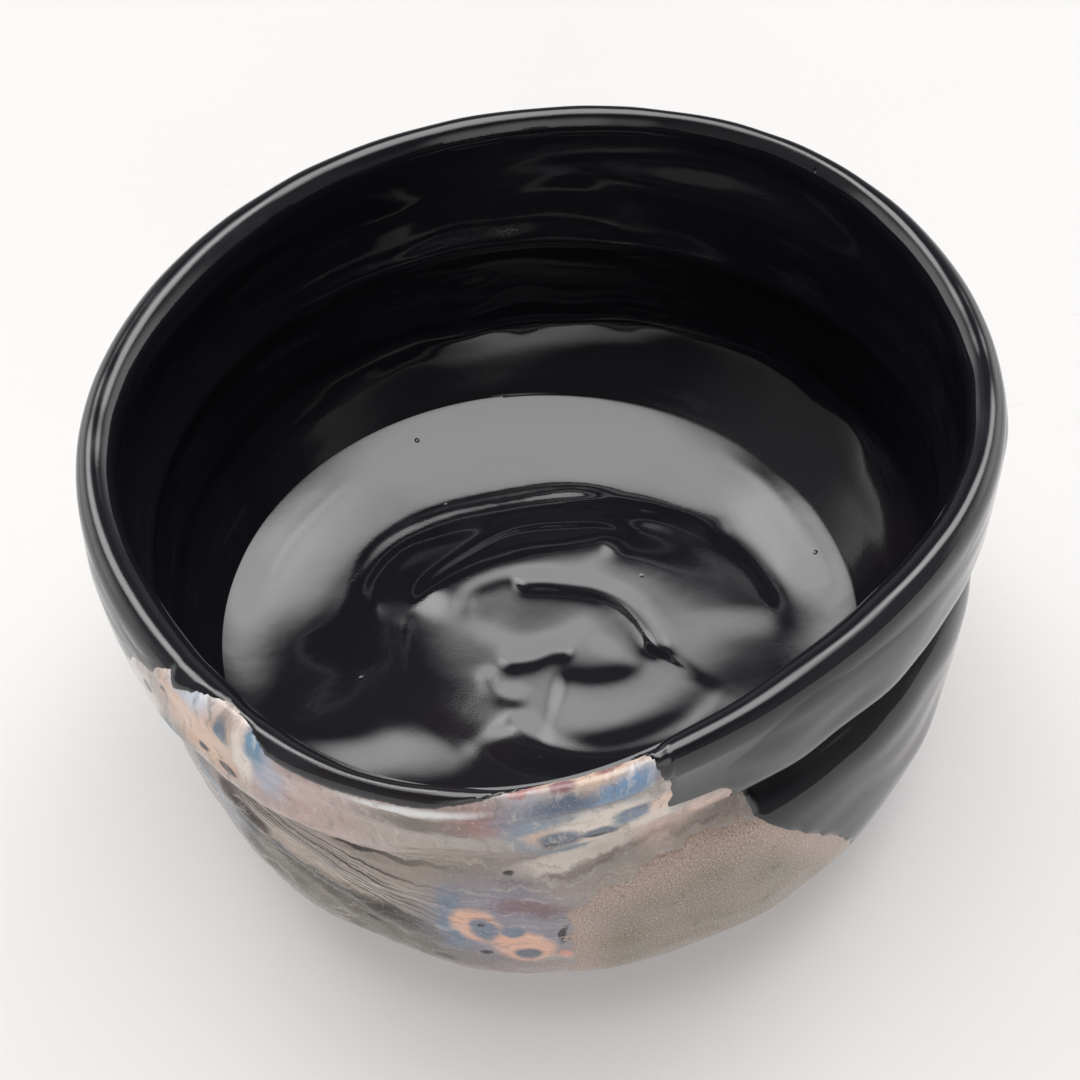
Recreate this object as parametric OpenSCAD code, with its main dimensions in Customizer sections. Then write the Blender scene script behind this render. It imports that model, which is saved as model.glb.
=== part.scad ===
// Squeezed black tea bowl with a marbled glaze window.
// Millimetres, +Z up. The origin is the centre of the foot ring's resting face.
// The glaze window faces -Y, and +X is on the right of someone who looks at it.
// Angles run from +X towards +Y, so the front is at 270 degrees.
// "Finished" sizes include the glaze; the clay is that much smaller.

/* [Overall] */
// Mean finished height of the lip above the table
height = 66; // [55:1:84]
// Mean finished clear width across the mouth
mouth_d = 114; // [92:1:140]

/* [Wall] */
// Finished thickness of the lip
lip_t = 5.5; // [4:0.1:7.5]
// Height of the lip's rounded crest
lip_round = 3; // [2:0.1:4]
// Finished thickness of the wall below the lip
wall_t = 5; // [4:0.1:7]
// How far the shoulder under the lip stands out past the clear mouth
shoulder_out = 5; // [3:0.1:8]
// Drop from the lip to the shoulder
shoulder_drop = 13; // [10:0.5:17]
// How far the belly stands out past the clear mouth
belly_out = 4.3; // [2:0.1:8]
// Height of the belly above the table
belly_z = 26; // [20:1:30]
// Fullness of the curve from the foot to the belly: 2 is a plain ellipse, more is squarer
hip_fullness = 2.6; // [2:0.1:4]

/* [Waist groove] */
// Depth of the groove that is pressed round the waist
groove_depth = 2.4; // [0:0.1:4]
// Drop from the lip to the middle of the groove
groove_drop = 21.6; // [19:0.2:24]
// Half width of the groove
groove_w = 4; // [3:0.5:7]
// Share of the groove's depth that shows as a swelling on the inside
groove_through = 0.7; // [0:0.1:1]

/* [Floor] */
// Finished thickness of the floor at the foot of the wall
floor_t = 10.2; // [9:0.1:13]
// Mean width of the rounded corner between the wall and the floor
corner_w = 7.8; // [7:0.1:12]
// Height of the rounded corner between the wall and the floor
corner_h = 13; // [9:0.5:15]
// How far the middle of the floor sinks below its edge
floor_dish = 4; // [0:0.1:4.5]
// Radius of the thrown finger spiral in the middle of the floor
spiral_r = 20; // [14:1:24]
// Distance from one ridge of the spiral to the next
spiral_pitch = 9; // [7:0.5:12]
// Height of the spiral's ridges above the floor
spiral_ridge = 0.8; // [0:0.1:1.5]

/* [Foot] */
// Outer diameter of the foot ring where it meets the underside
foot_d = 58; // [44:1:70]
// Height of the foot ring
foot_h = 6; // [4.5:0.5:12]
// Thickness of the foot ring at its root
foot_wall = 6.5; // [4.5:0.1:9]
// How far each side of the foot ring leans in towards its resting face
foot_taper = 0.8; // [0:0.1:1.2]
// Bevel round both edges of the resting face
foot_bevel = 0.8; // [0.3:0.1:1.2]
// Size of the smoothed seam of joining slip round the foot ring
slip_size = 2.2; // [1:0.1:3]
// Bare clay that is left outside the foot ring
foot_margin = 5; // [4:0.5:8]

/* [Glaze] */
// Thickness of every glaze coat
glaze_t = 0.7; // [0.4:0.1:1]
// Angle of the glaze window's left edge
window_left = 206; // [195:1:220]
// Angle of the glaze window's right edge at the lip
window_right_lip = 282; // [275:1:290]
// Angle of the glaze window's right edge at the foot
window_right_foot = 316; // [300:1:325]

/* [Hidden] */
$fn = 96;

// The bowl is thrown round and then squeezed by hand. Each wave is
// [swing in millimetres, lobes round the bowl, direction of its first lobe in degrees].
mouth_waves = [[0.9, 1, 21], [1.9, 2, 63], [0.8, 3, 22], [0.8, 4, -10], [0.6, 5, -26]];
lip_waves = [[2.4, 1, 14], [0.7, 2, -32], [0.4, 3, 58]];
shoulder_waves = [[0.6, 1, 94], [0.6, 2, 23], [0.5, 3, 5]];
belly_waves = [[2.1, 1, 20], [0.5, 2, 60], [1.1, 3, 28]];
groove_height_waves = [[1, 1, -38], [0.5, 2, -31], [0.5, 3, -40]];
groove_depth_waves = [[0.5, 1, -88], [0.8, 2, -56], [0.7, 3, -54]];
floor_waves = [[1.1, 1, -179], [0.9, 2, -14]];

// Clay sizes, under the glaze
clay_height = height - glaze_t;
clay_mouth_r = mouth_d / 2 + glaze_t;
clay_lip_t = lip_t - 2 * glaze_t;
clay_wall_t = wall_t - 2 * glaze_t;
clay_shoulder_r = mouth_d / 2 + shoulder_out - glaze_t;
clay_belly_r = mouth_d / 2 + belly_out - glaze_t;
clay_floor_z = foot_h + floor_t - glaze_t;
clay_floor_r = clay_belly_r - clay_wall_t - corner_w;
bare_r = foot_d / 2 + foot_margin;
groove_mid_z = height - groove_drop;
// How late the dished floor rises towards its edge: 2 is a plain bowl, more is flatter in the middle
dish_power = 5;
// Turn of the curve at the foot of the wall, in degrees
corner_turn = 30;
spiral_fade = 3;
spiral_start = 150;

// Rows of the surface grid, from the middle of the underside, up the outside,
// over the lip and down the inside to the middle of the floor
glaze_row = 1;
belly_row = glaze_row + 6;
groove_row = belly_row + 5;
lip_row = groove_row + 5;
mouth_row = lip_row + 8;
corner_row = mouth_row + 7;
floor_row = corner_row + 4;
spiral_row = floor_row + 2;
last_row = spiral_row + 8;
row_crowding = 1.6;

// Columns of the surface grid: the window's come first, then the black side's
window_cols = 16;
cols = window_cols + 44;
// The window glaze runs over the lip between this column and the window's right edge
tongue_col = 13;
// The taupe glaze fills the window from this column and below this row
taupe_col = 12;
taupe_row = groove_row - 2;

function mix(from, to, share) = from + (to - from) * share;
function limit(x) = min(max(x, 0), 1);
function ease(x) = limit(x) * limit(x) * (3 - 2 * limit(x));
function unit(v) = v / norm(v);
function wave(a, waves) = [for (w = waves) w[0] * cos(w[1] * (a - w[2]))] * [for (w = waves) 1];

// Radii and heights of the clay at angle a
function lip_z(a) = clay_height + wave(a, lip_waves);
function spring_z(a) = lip_z(a) - lip_round;
function groove_z(a) = groove_mid_z + wave(a, groove_height_waves);
function mouth_r(a) = clay_mouth_r + wave(a, mouth_waves);
function belly_r(a) = clay_belly_r + wave(a, belly_waves);
function shoulder_r(a) = clay_shoulder_r + wave(a, shoulder_waves);
function floor_r(a) = clay_floor_r + wave(a, floor_waves);

function hip_r(a, z) =
    let (low = limit((belly_z - z) / (belly_z - foot_h)))
    mix(bare_r, belly_r(a), pow(1 - pow(low, hip_fullness), 1 / hip_fullness));

function flank_r(a, z) =
    let (shoulder_z = lip_z(a) - shoulder_drop)
    let (above = limit((z - shoulder_z) / shoulder_drop))
    z < shoulder_z
        ? mix(belly_r(a), shoulder_r(a), ease((z - belly_z) / (shoulder_z - belly_z)))
        : mix(shoulder_r(a), mouth_r(a) + clay_lip_t, above * above);

// Outside of the clay before the groove is pressed in
function thrown_r(a, z) = z < belly_z ? hip_r(a, z) : flank_r(a, z);

function groove_in(a, z) =
    let (depth = groove_depth <= 0 ? 0 : max(groove_depth + wave(a, groove_depth_waves), 0))
    depth * exp(-pow(abs(z - groove_z(a)) / groove_w, 1.5));

function outer_r(a, z) = thrown_r(a, z) - groove_in(a, z);

function inner_r(a, z) =
    let (below_lip = ease((spring_z(a) - z) / (shoulder_drop - lip_round)))
    let (wall_face = thrown_r(a, z) - clay_wall_t - groove_through * groove_in(a, z))
    mix(mouth_r(a), wall_face, below_lip);

function floor_z(a, r) =
    let (share = pow(limit(r / clay_floor_r), dish_power))
    let (swell = cos(360 * r / spiral_pitch + a - spiral_start))
    let (inside = ease(2 * r / spiral_pitch) * ease((spiral_r + spiral_fade - r) / (2 * spiral_fade)))
    clay_floor_z - floor_dish * (1 - share) + spiral_ridge * swell * inside;

// The profile's stretches, each as [radius, height] at angle a and a share of the stretch
function hip_point(a, share) =
    let (turn = 90 * share)
    let (low = pow(cos(turn), 2 / hip_fullness))
    [mix(bare_r, belly_r(a), pow(sin(turn), 2 / hip_fullness)), mix(belly_z, foot_h, low)];

function lower_flank_point(a, share) =
    let (z = mix(belly_z, groove_z(a), 1 - pow(1 - share, row_crowding)))
    [outer_r(a, z), z];

function upper_flank_point(a, share) =
    let (z = mix(groove_z(a), spring_z(a), pow(share, row_crowding)))
    [outer_r(a, z), z];

function lip_point(a, share) =
    let (outside = outer_r(a, spring_z(a)), inside = mouth_r(a))
    [mix(inside, outside, (1 + cos(180 * share)) / 2), spring_z(a) + lip_round * sin(180 * share)];

function inner_wall_point(a, share) =
    let (z = mix(spring_z(a), clay_floor_z + corner_h, share))
    [inner_r(a, z), z];

function corner_point(a, share) =
    let (start_r = inner_r(a, clay_floor_z + corner_h))
    let (across = (cos(corner_turn * share) - cos(corner_turn)) / (1 - cos(corner_turn)))
    let (down = sin(corner_turn * share) / sin(corner_turn))
    [mix(floor_r(a), start_r, across), clay_floor_z + corner_h * (1 - down)];

function floor_point(a, r) = [r, floor_z(a, r)];

function share_of(row, start, end) = (row - start) / (end - start);

function profile_point(a, row) =
    row < glaze_row ? [0, foot_h]
    : row <= belly_row ? hip_point(a, share_of(row, glaze_row, belly_row))
    : row <= groove_row ? lower_flank_point(a, share_of(row, belly_row, groove_row))
    : row <= lip_row ? upper_flank_point(a, share_of(row, groove_row, lip_row))
    : row <= mouth_row ? lip_point(a, share_of(row, lip_row, mouth_row))
    : row <= corner_row ? inner_wall_point(a, share_of(row, mouth_row, corner_row))
    : row <= floor_row ? corner_point(a, share_of(row, corner_row, floor_row))
    : row <= spiral_row
        ? floor_point(a, mix(floor_r(a), spiral_r + spiral_fade, share_of(row, floor_row, spiral_row)))
    : floor_point(a, (spiral_r + spiral_fade) * (1 - share_of(row, spiral_row, last_row)));

// Angle of a column: the window's right edge slants, so the columns lean with it below the lip
function window_right(row) =
    mix(window_right_foot, window_right_lip, limit(share_of(row, glaze_row, lip_row)));

function column_angle(col, row) =
    col <= window_cols
        ? mix(window_left, window_right(row), col / window_cols)
        : mix(window_right(row), window_left + 360, (col - window_cols) / (cols - window_cols));

function clay_point(col, row) =
    let (a = column_angle(col, row), p = profile_point(a, row))
    [p[0] * cos(a), p[0] * sin(a), p[1]];

// Grid points are numbered with the two poles first, then row by row
function grid_id(col, row) =
    row == 0 ? 0
    : row == last_row ? 1
    : 2 + (row - 1) * cols + (col + cols) % cols;

clay_points = [
    [0, 0, foot_h],
    [0, 0, floor_z(0, 0)],
    for (row = [1:last_row - 1], col = [0:cols - 1]) clay_point(col, row)
];
grid_count = len(clay_points);

function grid_normal(col, row) =
    let (round_way = clay_points[grid_id(col + 1, row)] - clay_points[grid_id(col - 1, row)])
    let (along = clay_points[grid_id(col, row + 1)] - clay_points[grid_id(col, row - 1)])
    unit(cross(round_way, along));

glaze_points = [
    clay_points[0] - [0, 0, glaze_t],
    clay_points[1] + [0, 0, glaze_t],
    for (row = [1:last_row - 1], col = [0:cols - 1])
        clay_points[grid_id(col, row)] + glaze_t * grid_normal(col, row)
];

// Corners of a grid cell, in turn, and the two triangles of its clay face
function cell(col, row) = [
    grid_id(col, row), grid_id(col + 1, row), grid_id(col + 1, row + 1), grid_id(col, row + 1)
];
function face_pair(q) = [[q[0], q[2], q[1]], [q[0], q[3], q[2]]];
function backward(face) = [face[2], face[1], face[0]];
function is_whole(face) = face[0] != face[1] && face[1] != face[2] && face[2] != face[0];

// Edge wall of a coat between two neighbouring grid points. Both coats that meet at an
// edge cut the wall along the same diagonal, so they touch without a gap.
function edge_wall(from, to) =
    let (over_from = from + grid_count, over_to = to + grid_count)
    from < to
        ? [[from, over_from, over_to], [from, over_to, to]]
        : [[from, over_from, to], [over_from, over_to, to]];

// A coat of glaze on every cell for which covers(col, row) is true
module coat(covers) {
    covered = [for (row = [1:last_row - 1], col = [0:cols - 1]) if (covers(col, row)) [col, row]];
    clay_side = [for (c = covered, face = face_pair(cell(c[0], c[1]))) if (is_whole(face)) face];
    inner_sheet = [for (face = clay_side) backward(face)];
    free_sheet = [for (face = clay_side) face + grid_count * [1, 1, 1]];
    walls = [
        for (c = covered)
            let (q = cell(c[0], c[1]), col = c[0], row = c[1])
            each concat(
                row == 1 || !covers(col, row - 1) ? edge_wall(q[0], q[1]) : [],
                covers((col + 1) % cols, row) ? [] : edge_wall(q[1], q[2]),
                row + 1 == last_row || covers(col, row + 1) ? [] : edge_wall(q[2], q[3]),
                covers((col + cols - 1) % cols, row) ? [] : edge_wall(q[3], q[0])
            )
    ];
    polyhedron(
        points = concat(clay_points, glaze_points),
        faces = concat(inner_sheet, free_sheet, walls)
    );
}

function on_lip(row) = row >= lip_row && row < mouth_row;
function on_outside(row) = row >= glaze_row && row < lip_row;
function in_window(col) = col < window_cols;
function in_tongue(col) = col >= tongue_col && col < window_cols;
function in_taupe(col, row) = in_window(col) && col >= taupe_col && on_outside(row) && row < taupe_row;

module clay_body() {
    all_faces = [
        for (row = [0:last_row - 1], col = [0:cols - 1], face = face_pair(cell(col, row)))
            if (is_whole(face)) face
    ];
    color("#b39578") polyhedron(points = clay_points, faces = all_faces);
}

// Sides of the foot ring at height z
function foot_lean(z) = foot_taper * (1 - z / foot_h);
function foot_outer_r(z) = foot_d / 2 - foot_lean(z);
function foot_inner_r(z) = foot_d / 2 - foot_wall + foot_lean(z);

module foot_ring() {
    color("#b89a7c")
        rotate_extrude()
            polygon([
                [foot_outer_r(foot_h), foot_h],
                [foot_inner_r(foot_h), foot_h],
                [foot_inner_r(foot_bevel), foot_bevel],
                [foot_inner_r(0) + foot_bevel, 0],
                [foot_outer_r(0) - foot_bevel, 0],
                [foot_outer_r(foot_bevel), foot_bevel]
            ]);
}

module foot_slip_seam() {
    low_z = foot_h - slip_size;
    low_r = foot_outer_r(low_z);
    high_r = foot_outer_r(foot_h);
    hollow = [
        for (turn = [0:15:90])
            [high_r + slip_size - slip_size * sin(turn), mix(foot_h, low_z, 1 - cos(turn))]
    ];
    color("#a98b6e") rotate_extrude() polygon(concat([[high_r, foot_h]], hollow, [[low_r, low_z]]));
}

module inner_black_glaze() {
    color("#141216") coat(function (col, row) row >= mouth_row);
}

module outer_black_glaze() {
    color("#1d1b20") coat(function (col, row) on_outside(row) && !in_window(col));
}

module lip_black_glaze() {
    color("#232127") coat(function (col, row) on_lip(row) && !in_tongue(col));
}

module window_marbled_glaze() {
    color("#c7a6a1") coat(function (col, row)
        in_window(col) && on_outside(row) && !in_taupe(col, row) || on_lip(row) && in_tongue(col));
}

module window_taupe_glaze() {
    color("#a39487") coat(function (col, row) in_taupe(col, row));
}

clay_body();
foot_ring();
foot_slip_seam();
inner_black_glaze();
outer_black_glaze();
lip_black_glaze();
window_marbled_glaze();
window_taupe_glaze();
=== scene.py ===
"""Squeezed black tea bowl with a marbled glaze window.

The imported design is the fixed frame, and every place here is worked out from it. Plan and
profile sizes are given for a bowl of nominal width and are scaled to the frame's own size.
Angles run in degrees from +X towards +Y, so the front of the bowl is at 270.
"""

import logging
import math
from dataclasses import dataclass
from enum import Enum
from typing import Sequence

import bpy
import numpy as np
from mathutils import Matrix, Vector


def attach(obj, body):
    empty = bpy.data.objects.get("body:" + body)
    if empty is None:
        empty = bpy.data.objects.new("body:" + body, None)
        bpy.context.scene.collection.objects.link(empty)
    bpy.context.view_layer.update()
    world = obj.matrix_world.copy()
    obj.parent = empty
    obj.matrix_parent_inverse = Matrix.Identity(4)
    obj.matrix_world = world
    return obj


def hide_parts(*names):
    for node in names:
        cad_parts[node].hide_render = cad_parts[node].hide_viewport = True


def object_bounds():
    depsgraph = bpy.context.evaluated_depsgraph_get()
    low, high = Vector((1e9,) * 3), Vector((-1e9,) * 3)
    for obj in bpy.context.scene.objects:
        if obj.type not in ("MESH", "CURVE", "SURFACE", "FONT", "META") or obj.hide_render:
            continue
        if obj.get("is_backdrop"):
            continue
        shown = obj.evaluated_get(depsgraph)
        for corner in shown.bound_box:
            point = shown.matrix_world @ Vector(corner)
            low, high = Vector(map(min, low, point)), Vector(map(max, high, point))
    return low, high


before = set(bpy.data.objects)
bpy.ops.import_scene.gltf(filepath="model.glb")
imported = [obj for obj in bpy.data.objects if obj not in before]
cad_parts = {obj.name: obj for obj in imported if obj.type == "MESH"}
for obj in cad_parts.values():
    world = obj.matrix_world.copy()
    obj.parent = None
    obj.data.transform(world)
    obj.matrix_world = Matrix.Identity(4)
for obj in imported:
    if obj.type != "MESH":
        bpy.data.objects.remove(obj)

LOG = logging.getLogger("tea_bowl")
MM = 0.001


class Slot(Enum):
    """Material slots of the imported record."""

    STONEWARE = "stoneware"
    SLIP = "joining_slip"
    BLACK = "black_glaze"
    MARBLED = "marbled_glaze"
    TAUPE = "taupe_glaze"


class Row(Enum):
    """Rows of the bowl's profile, from the underside over the lip to the middle of the floor."""

    GLAZE_LINE = 1.0
    BELLY = 7.0
    GROOVE = 12.0
    LIP = 17.0
    MOUTH = 25.0
    CORNER = 32.0
    FLOOR = 36.0
    SPIRAL = 38.0
    CENTRE = 46.0


def ease(x: np.ndarray) -> np.ndarray:
    """Smooth step from 0 to 1 for x from 0 to 1."""
    c = np.clip(x, 0.0, 1.0)
    return c * c * (3.0 - 2.0 * c)


def mix(start: np.ndarray, end: np.ndarray, share: np.ndarray) -> np.ndarray:
    """Value that lies at that share of the way from start to end."""
    return start + (end - start) * share


@dataclass(frozen=True)
class Waves:
    """Waves round the bowl, each as (swing in mm, lobes, direction in degrees)."""

    parts: tuple[tuple[float, int, float], ...]

    def at(self, angle: np.ndarray) -> np.ndarray:
        """Sum of the waves at the given angles, in millimetres."""
        return sum(s * np.cos(np.radians(n * (angle - d))) for s, n, d in self.parts)


@dataclass(frozen=True)
class SmoothNoise:
    """Seeded smooth noise made of crossing ripples, the same on every run."""

    seed: int
    wavelength: float
    ripples: int = 14

    def at(self, x: np.ndarray, y: np.ndarray, z: np.ndarray | float = 0.0) -> np.ndarray:
        """Noise of about unit size at points x, y, z.

        Args:
            x: First coordinate, in millimetres.
            y: Second coordinate, in millimetres.
            z: Third coordinate, in millimetres.

        Returns:
            Noise values, one for each point.
        """
        rng = np.random.default_rng(self.seed)
        total = np.zeros(np.broadcast(x, y, z).shape)
        for _ in range(self.ripples):
            way = rng.normal(size=3)
            way = way / np.linalg.norm(way)
            pace = 2.0 * math.pi / (self.wavelength * rng.uniform(0.5, 1.2))
            shift = rng.uniform(0.0, 2.0 * math.pi)
            total += np.sin(pace * (x * way[0] + y * way[1] + z * way[2]) + shift)
        return total * math.sqrt(2.0 / self.ripples)


@dataclass(frozen=True)
class Stroke:
    """A mark pressed or raised in the glaze along a smooth curve through a few points.

    Attributes:
        points: Points of the curve in millimetres from the bowl's axis.
        height: Height of the ridge, negative for a groove.
        left: How far it reaches on the left of the curve.
        right: How far it reaches on the right of the curve.
        taper: Share of its length over which each end dies away.
    """

    points: tuple[tuple[float, float], ...]
    height: float
    left: float
    right: float
    taper: float = 0.15

    def curve(self, pieces: int = 8) -> np.ndarray:
        """Points of the smooth curve, with the given number between each pair.

        Args:
            pieces: Number of steps from one given point to the next.

        Returns:
            Points, one row for each.
        """
        p = np.array(self.points, float)
        p = np.vstack([2 * p[0] - p[1], p, 2 * p[-1] - p[-2]])
        t = np.linspace(0.0, 1.0, pieces, endpoint=False)[:, None]
        out = []
        for a, b, c, d in zip(p[:-3], p[1:-2], p[2:-1], p[3:]):
            out.append(
                0.5 * (2 * b + (c - a) * t + (2 * a - 5 * b + 4 * c - d) * t**2
                       + (3 * b - a - 3 * c + d) * t**3)
            )
        return np.vstack(out + [p[-2][None]])

    def relief(self, x: np.ndarray, y: np.ndarray) -> np.ndarray:
        """Height that this stroke adds to the floor.

        Args:
            x: Millimetres along +X.
            y: Millimetres along +Y.

        Returns:
            Heights in millimetres.
        """
        line = self.curve()
        best = np.full(x.shape, 1e9)
        side = np.zeros(x.shape)
        along = np.zeros(x.shape)
        count = len(line) - 1
        for i in range(count):
            (ax, ay), (bx, by) = line[i], line[i + 1]
            dx, dy = bx - ax, by - ay
            t = np.clip(((x - ax) * dx + (y - ay) * dy) / (dx * dx + dy * dy + 1e-12), 0, 1)
            ox, oy = x - ax - t * dx, y - ay - t * dy
            gap = np.hypot(ox, oy)
            nearer = gap < best
            best = np.where(nearer, gap, best)
            side = np.where(nearer, dx * oy - dy * ox, side)
            along = np.where(nearer, (i + t) / count, along)
        ends = ease(along / self.taper) * ease((1.0 - along) / self.taper)
        width = np.where(side > 0, self.left, self.right)
        return self.height * np.exp(-((best / width) ** 2)) * ends


@dataclass
class BowlForm:
    """Shape of the clay and of every coat of glaze on it.

    Plan and profile sizes are in millimetres for a bowl of nominal width; scale turns them
    into the frame's own size in metres.
    """

    height: float = 65.3
    mouth_r: float = 57.7
    lip_t: float = 4.1
    lip_round: float = 3.0
    wall_t: float = 3.6
    shoulder_r: float = 61.3
    shoulder_drop: float = 13.0
    belly_r: float = 60.6
    belly_z: float = 26.0
    hip_fullness: float = 2.6
    bare_r: float = 34.0
    groove_z: float = 44.4
    groove_depth: float = 2.4
    groove_w: float = 4.0
    groove_through: float = 0.7
    floor_r: float = 49.2
    corner_h: float = 13.0
    floor_z: float = 15.5
    floor_dish: float = 4.0
    dish_power: float = 5.0
    corner_turn: float = 30.0
    foot_h: float = 6.0
    glaze_t: float = 0.7
    nominal_width: float = 125.1
    spiral_zone_r: float = 23.0
    mouth_waves: Waves = Waves(((0.9, 1, 21), (1.9, 2, 63), (0.8, 3, 22), (0.8, 4, -10), (0.6, 5, -26)))
    lip_waves: Waves = Waves(((2.4, 1, 14), (0.7, 2, -32), (0.4, 3, 58)))
    shoulder_waves: Waves = Waves(((0.6, 1, 94), (0.6, 2, 23), (0.5, 3, 5)))
    belly_waves: Waves = Waves(((2.1, 1, 20), (0.5, 2, 60), (1.1, 3, 28)))
    groove_height_waves: Waves = Waves(((1.0, 1, -38), (0.5, 2, -31), (0.5, 3, -40)))
    groove_depth_waves: Waves = Waves(((0.5, 1, -88), (0.8, 2, -56), (0.7, 3, -54)))
    floor_waves: Waves = Waves(((1.1, 1, -179), (0.9, 2, -14)))
    scale: float = MM

    @classmethod
    def from_frame(cls) -> "BowlForm":
        """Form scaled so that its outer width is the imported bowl's."""
        low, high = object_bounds()
        form = cls()
        form.scale = (high.x - low.x) / form.nominal_width
        return form

    def lip_z(self, a: np.ndarray) -> np.ndarray:
        """Height of the lip's crest."""
        return self.height + self.lip_waves.at(a)

    def spring_z(self, a: np.ndarray) -> np.ndarray:
        """Height at which the lip's round crest begins."""
        return self.lip_z(a) - self.lip_round

    def groove_at(self, a: np.ndarray) -> np.ndarray:
        """Height of the middle of the waist groove."""
        return self.groove_z + self.groove_height_waves.at(a)

    def mouth(self, a: np.ndarray) -> np.ndarray:
        """Radius of the clay inside the lip."""
        return self.mouth_r + self.mouth_waves.at(a)

    def thrown(self, a: np.ndarray, z: np.ndarray) -> np.ndarray:
        """Outer radius before the groove is pressed in.

        Args:
            a: Angles in degrees.
            z: Heights in millimetres.

        Returns:
            Radii in millimetres.
        """
        belly = self.belly_r + self.belly_waves.at(a)
        shoulder = self.shoulder_r + self.shoulder_waves.at(a)
        shoulder_z = self.lip_z(a) - self.shoulder_drop
        n = self.hip_fullness
        low = np.clip((self.belly_z - z) / (self.belly_z - self.foot_h), 0, 1)
        hip = mix(self.bare_r, belly, (1 - low**n) ** (1 / n))
        flank = mix(belly, shoulder, ease((z - self.belly_z) / (shoulder_z - self.belly_z)))
        above = np.clip((z - shoulder_z) / self.shoulder_drop, 0, 1)
        neck = mix(shoulder, self.mouth(a) + self.lip_t, above * above)
        return np.where(z < self.belly_z, hip, np.where(z < shoulder_z, flank, neck))

    def groove_in(self, a: np.ndarray, z: np.ndarray) -> np.ndarray:
        """How far the groove is pressed in at angle a and height z.

        Args:
            a: Angles in degrees.
            z: Heights in millimetres.

        Returns:
            Depths in millimetres.
        """
        depth = np.maximum(self.groove_depth + self.groove_depth_waves.at(a), 0.0)
        off = np.abs(z - self.groove_at(a)) / self.groove_w
        return depth * np.exp(-(off**1.5))

    def outer(self, a: np.ndarray, z: np.ndarray) -> np.ndarray:
        """Outer radius of the clay."""
        return self.thrown(a, z) - self.groove_in(a, z)

    def inner(self, a: np.ndarray, z: np.ndarray) -> np.ndarray:
        """Inner radius of the clay wall.

        Args:
            a: Angles in degrees.
            z: Heights in millimetres.

        Returns:
            Radii in millimetres.
        """
        share = ease((self.spring_z(a) - z) / (self.shoulder_drop - self.lip_round))
        face = self.thrown(a, z) - self.wall_t - self.groove_through * self.groove_in(a, z)
        return mix(self.mouth(a), face, share)

    def profile(self, a: np.ndarray, row: np.ndarray) -> tuple[np.ndarray, np.ndarray]:
        """Radius and height of the clay surface.

        Args:
            a: Angles in degrees.
            row: Profile rows, as the Row names give them, with any share between.

        Returns:
            Radii and heights in millimetres.
        """
        def span(start: Row, end: Row) -> np.ndarray:
            """Share of the way from one row to another, held between 0 and 1."""
            return np.clip((row - start.value) / (end.value - start.value), 0.0, 1.0)

        hip, low = span(Row.GLAZE_LINE, Row.BELLY), span(Row.BELLY, Row.GROOVE)
        high = span(Row.GROOVE, Row.LIP)
        lip, wall = span(Row.LIP, Row.MOUTH), span(Row.MOUTH, Row.CORNER)
        corner = span(Row.CORNER, Row.FLOOR)
        ring, middle = span(Row.FLOOR, Row.SPIRAL), span(Row.SPIRAL, Row.CENTRE)
        n, crowding = self.hip_fullness, 1.6
        belly = self.belly_r + self.belly_waves.at(a)
        floor_edge = self.floor_r + self.floor_waves.at(a)
        spring, groove = self.spring_z(a), self.groove_at(a)
        top = self.floor_z + self.corner_h
        quarter = np.pi / 2
        hip_low = np.abs(np.cos(quarter * hip)) ** (2 / n)
        hip_at = (mix(self.bare_r, belly, np.abs(np.sin(quarter * hip)) ** (2 / n)),
                  mix(self.belly_z, self.foot_h, hip_low))
        low_z = mix(self.belly_z, groove, 1 - (1 - low) ** crowding)
        high_z = mix(groove, spring, high**crowding)
        lip_at = (mix(self.mouth(a), self.outer(a, spring), (1 + np.cos(np.pi * lip)) / 2),
                  spring + self.lip_round * np.sin(np.pi * lip))
        wall_z = mix(spring, top, wall)
        full = math.radians(self.corner_turn)
        across = (np.cos(full * corner) - math.cos(full)) / (1 - math.cos(full))
        corner_at = (mix(floor_edge, self.inner(a, top + 0 * a), across),
                     top - self.corner_h * np.sin(full * corner) / math.sin(full))
        ring_r = mix(floor_edge, self.spiral_zone_r, ring)
        middle_r = self.spiral_zone_r * (1 - middle)
        floor_at = np.where(row <= Row.SPIRAL.value, ring_r, middle_r)
        dish = self.floor_z - self.floor_dish * (1 - (floor_at / floor_edge) ** self.dish_power)
        conditions = [row <= Row.BELLY.value, row <= Row.GROOVE.value, row <= Row.LIP.value,
                      row <= Row.MOUTH.value, row <= Row.CORNER.value, row <= Row.FLOOR.value,
                      row <= Row.SPIRAL.value]
        r = np.select(conditions, [hip_at[0], self.outer(a, low_z), self.outer(a, high_z), lip_at[0],
                                   self.inner(a, wall_z), corner_at[0], ring_r], middle_r)
        z = np.select(conditions, [hip_at[1], low_z, high_z, lip_at[1], wall_z, corner_at[1], dish], dish)
        return r, z

    def clay(self, a: np.ndarray, row: np.ndarray) -> np.ndarray:
        """Points of the clay surface in millimetres, with x, y and z on the last axis.

        Args:
            a: Angles in degrees.
            row: Profile rows.

        Returns:
            The points.
        """
        r, z = self.profile(a, row)
        turn = np.radians(a)
        return np.stack([r * np.cos(turn), r * np.sin(turn), z], axis=-1)

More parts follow.
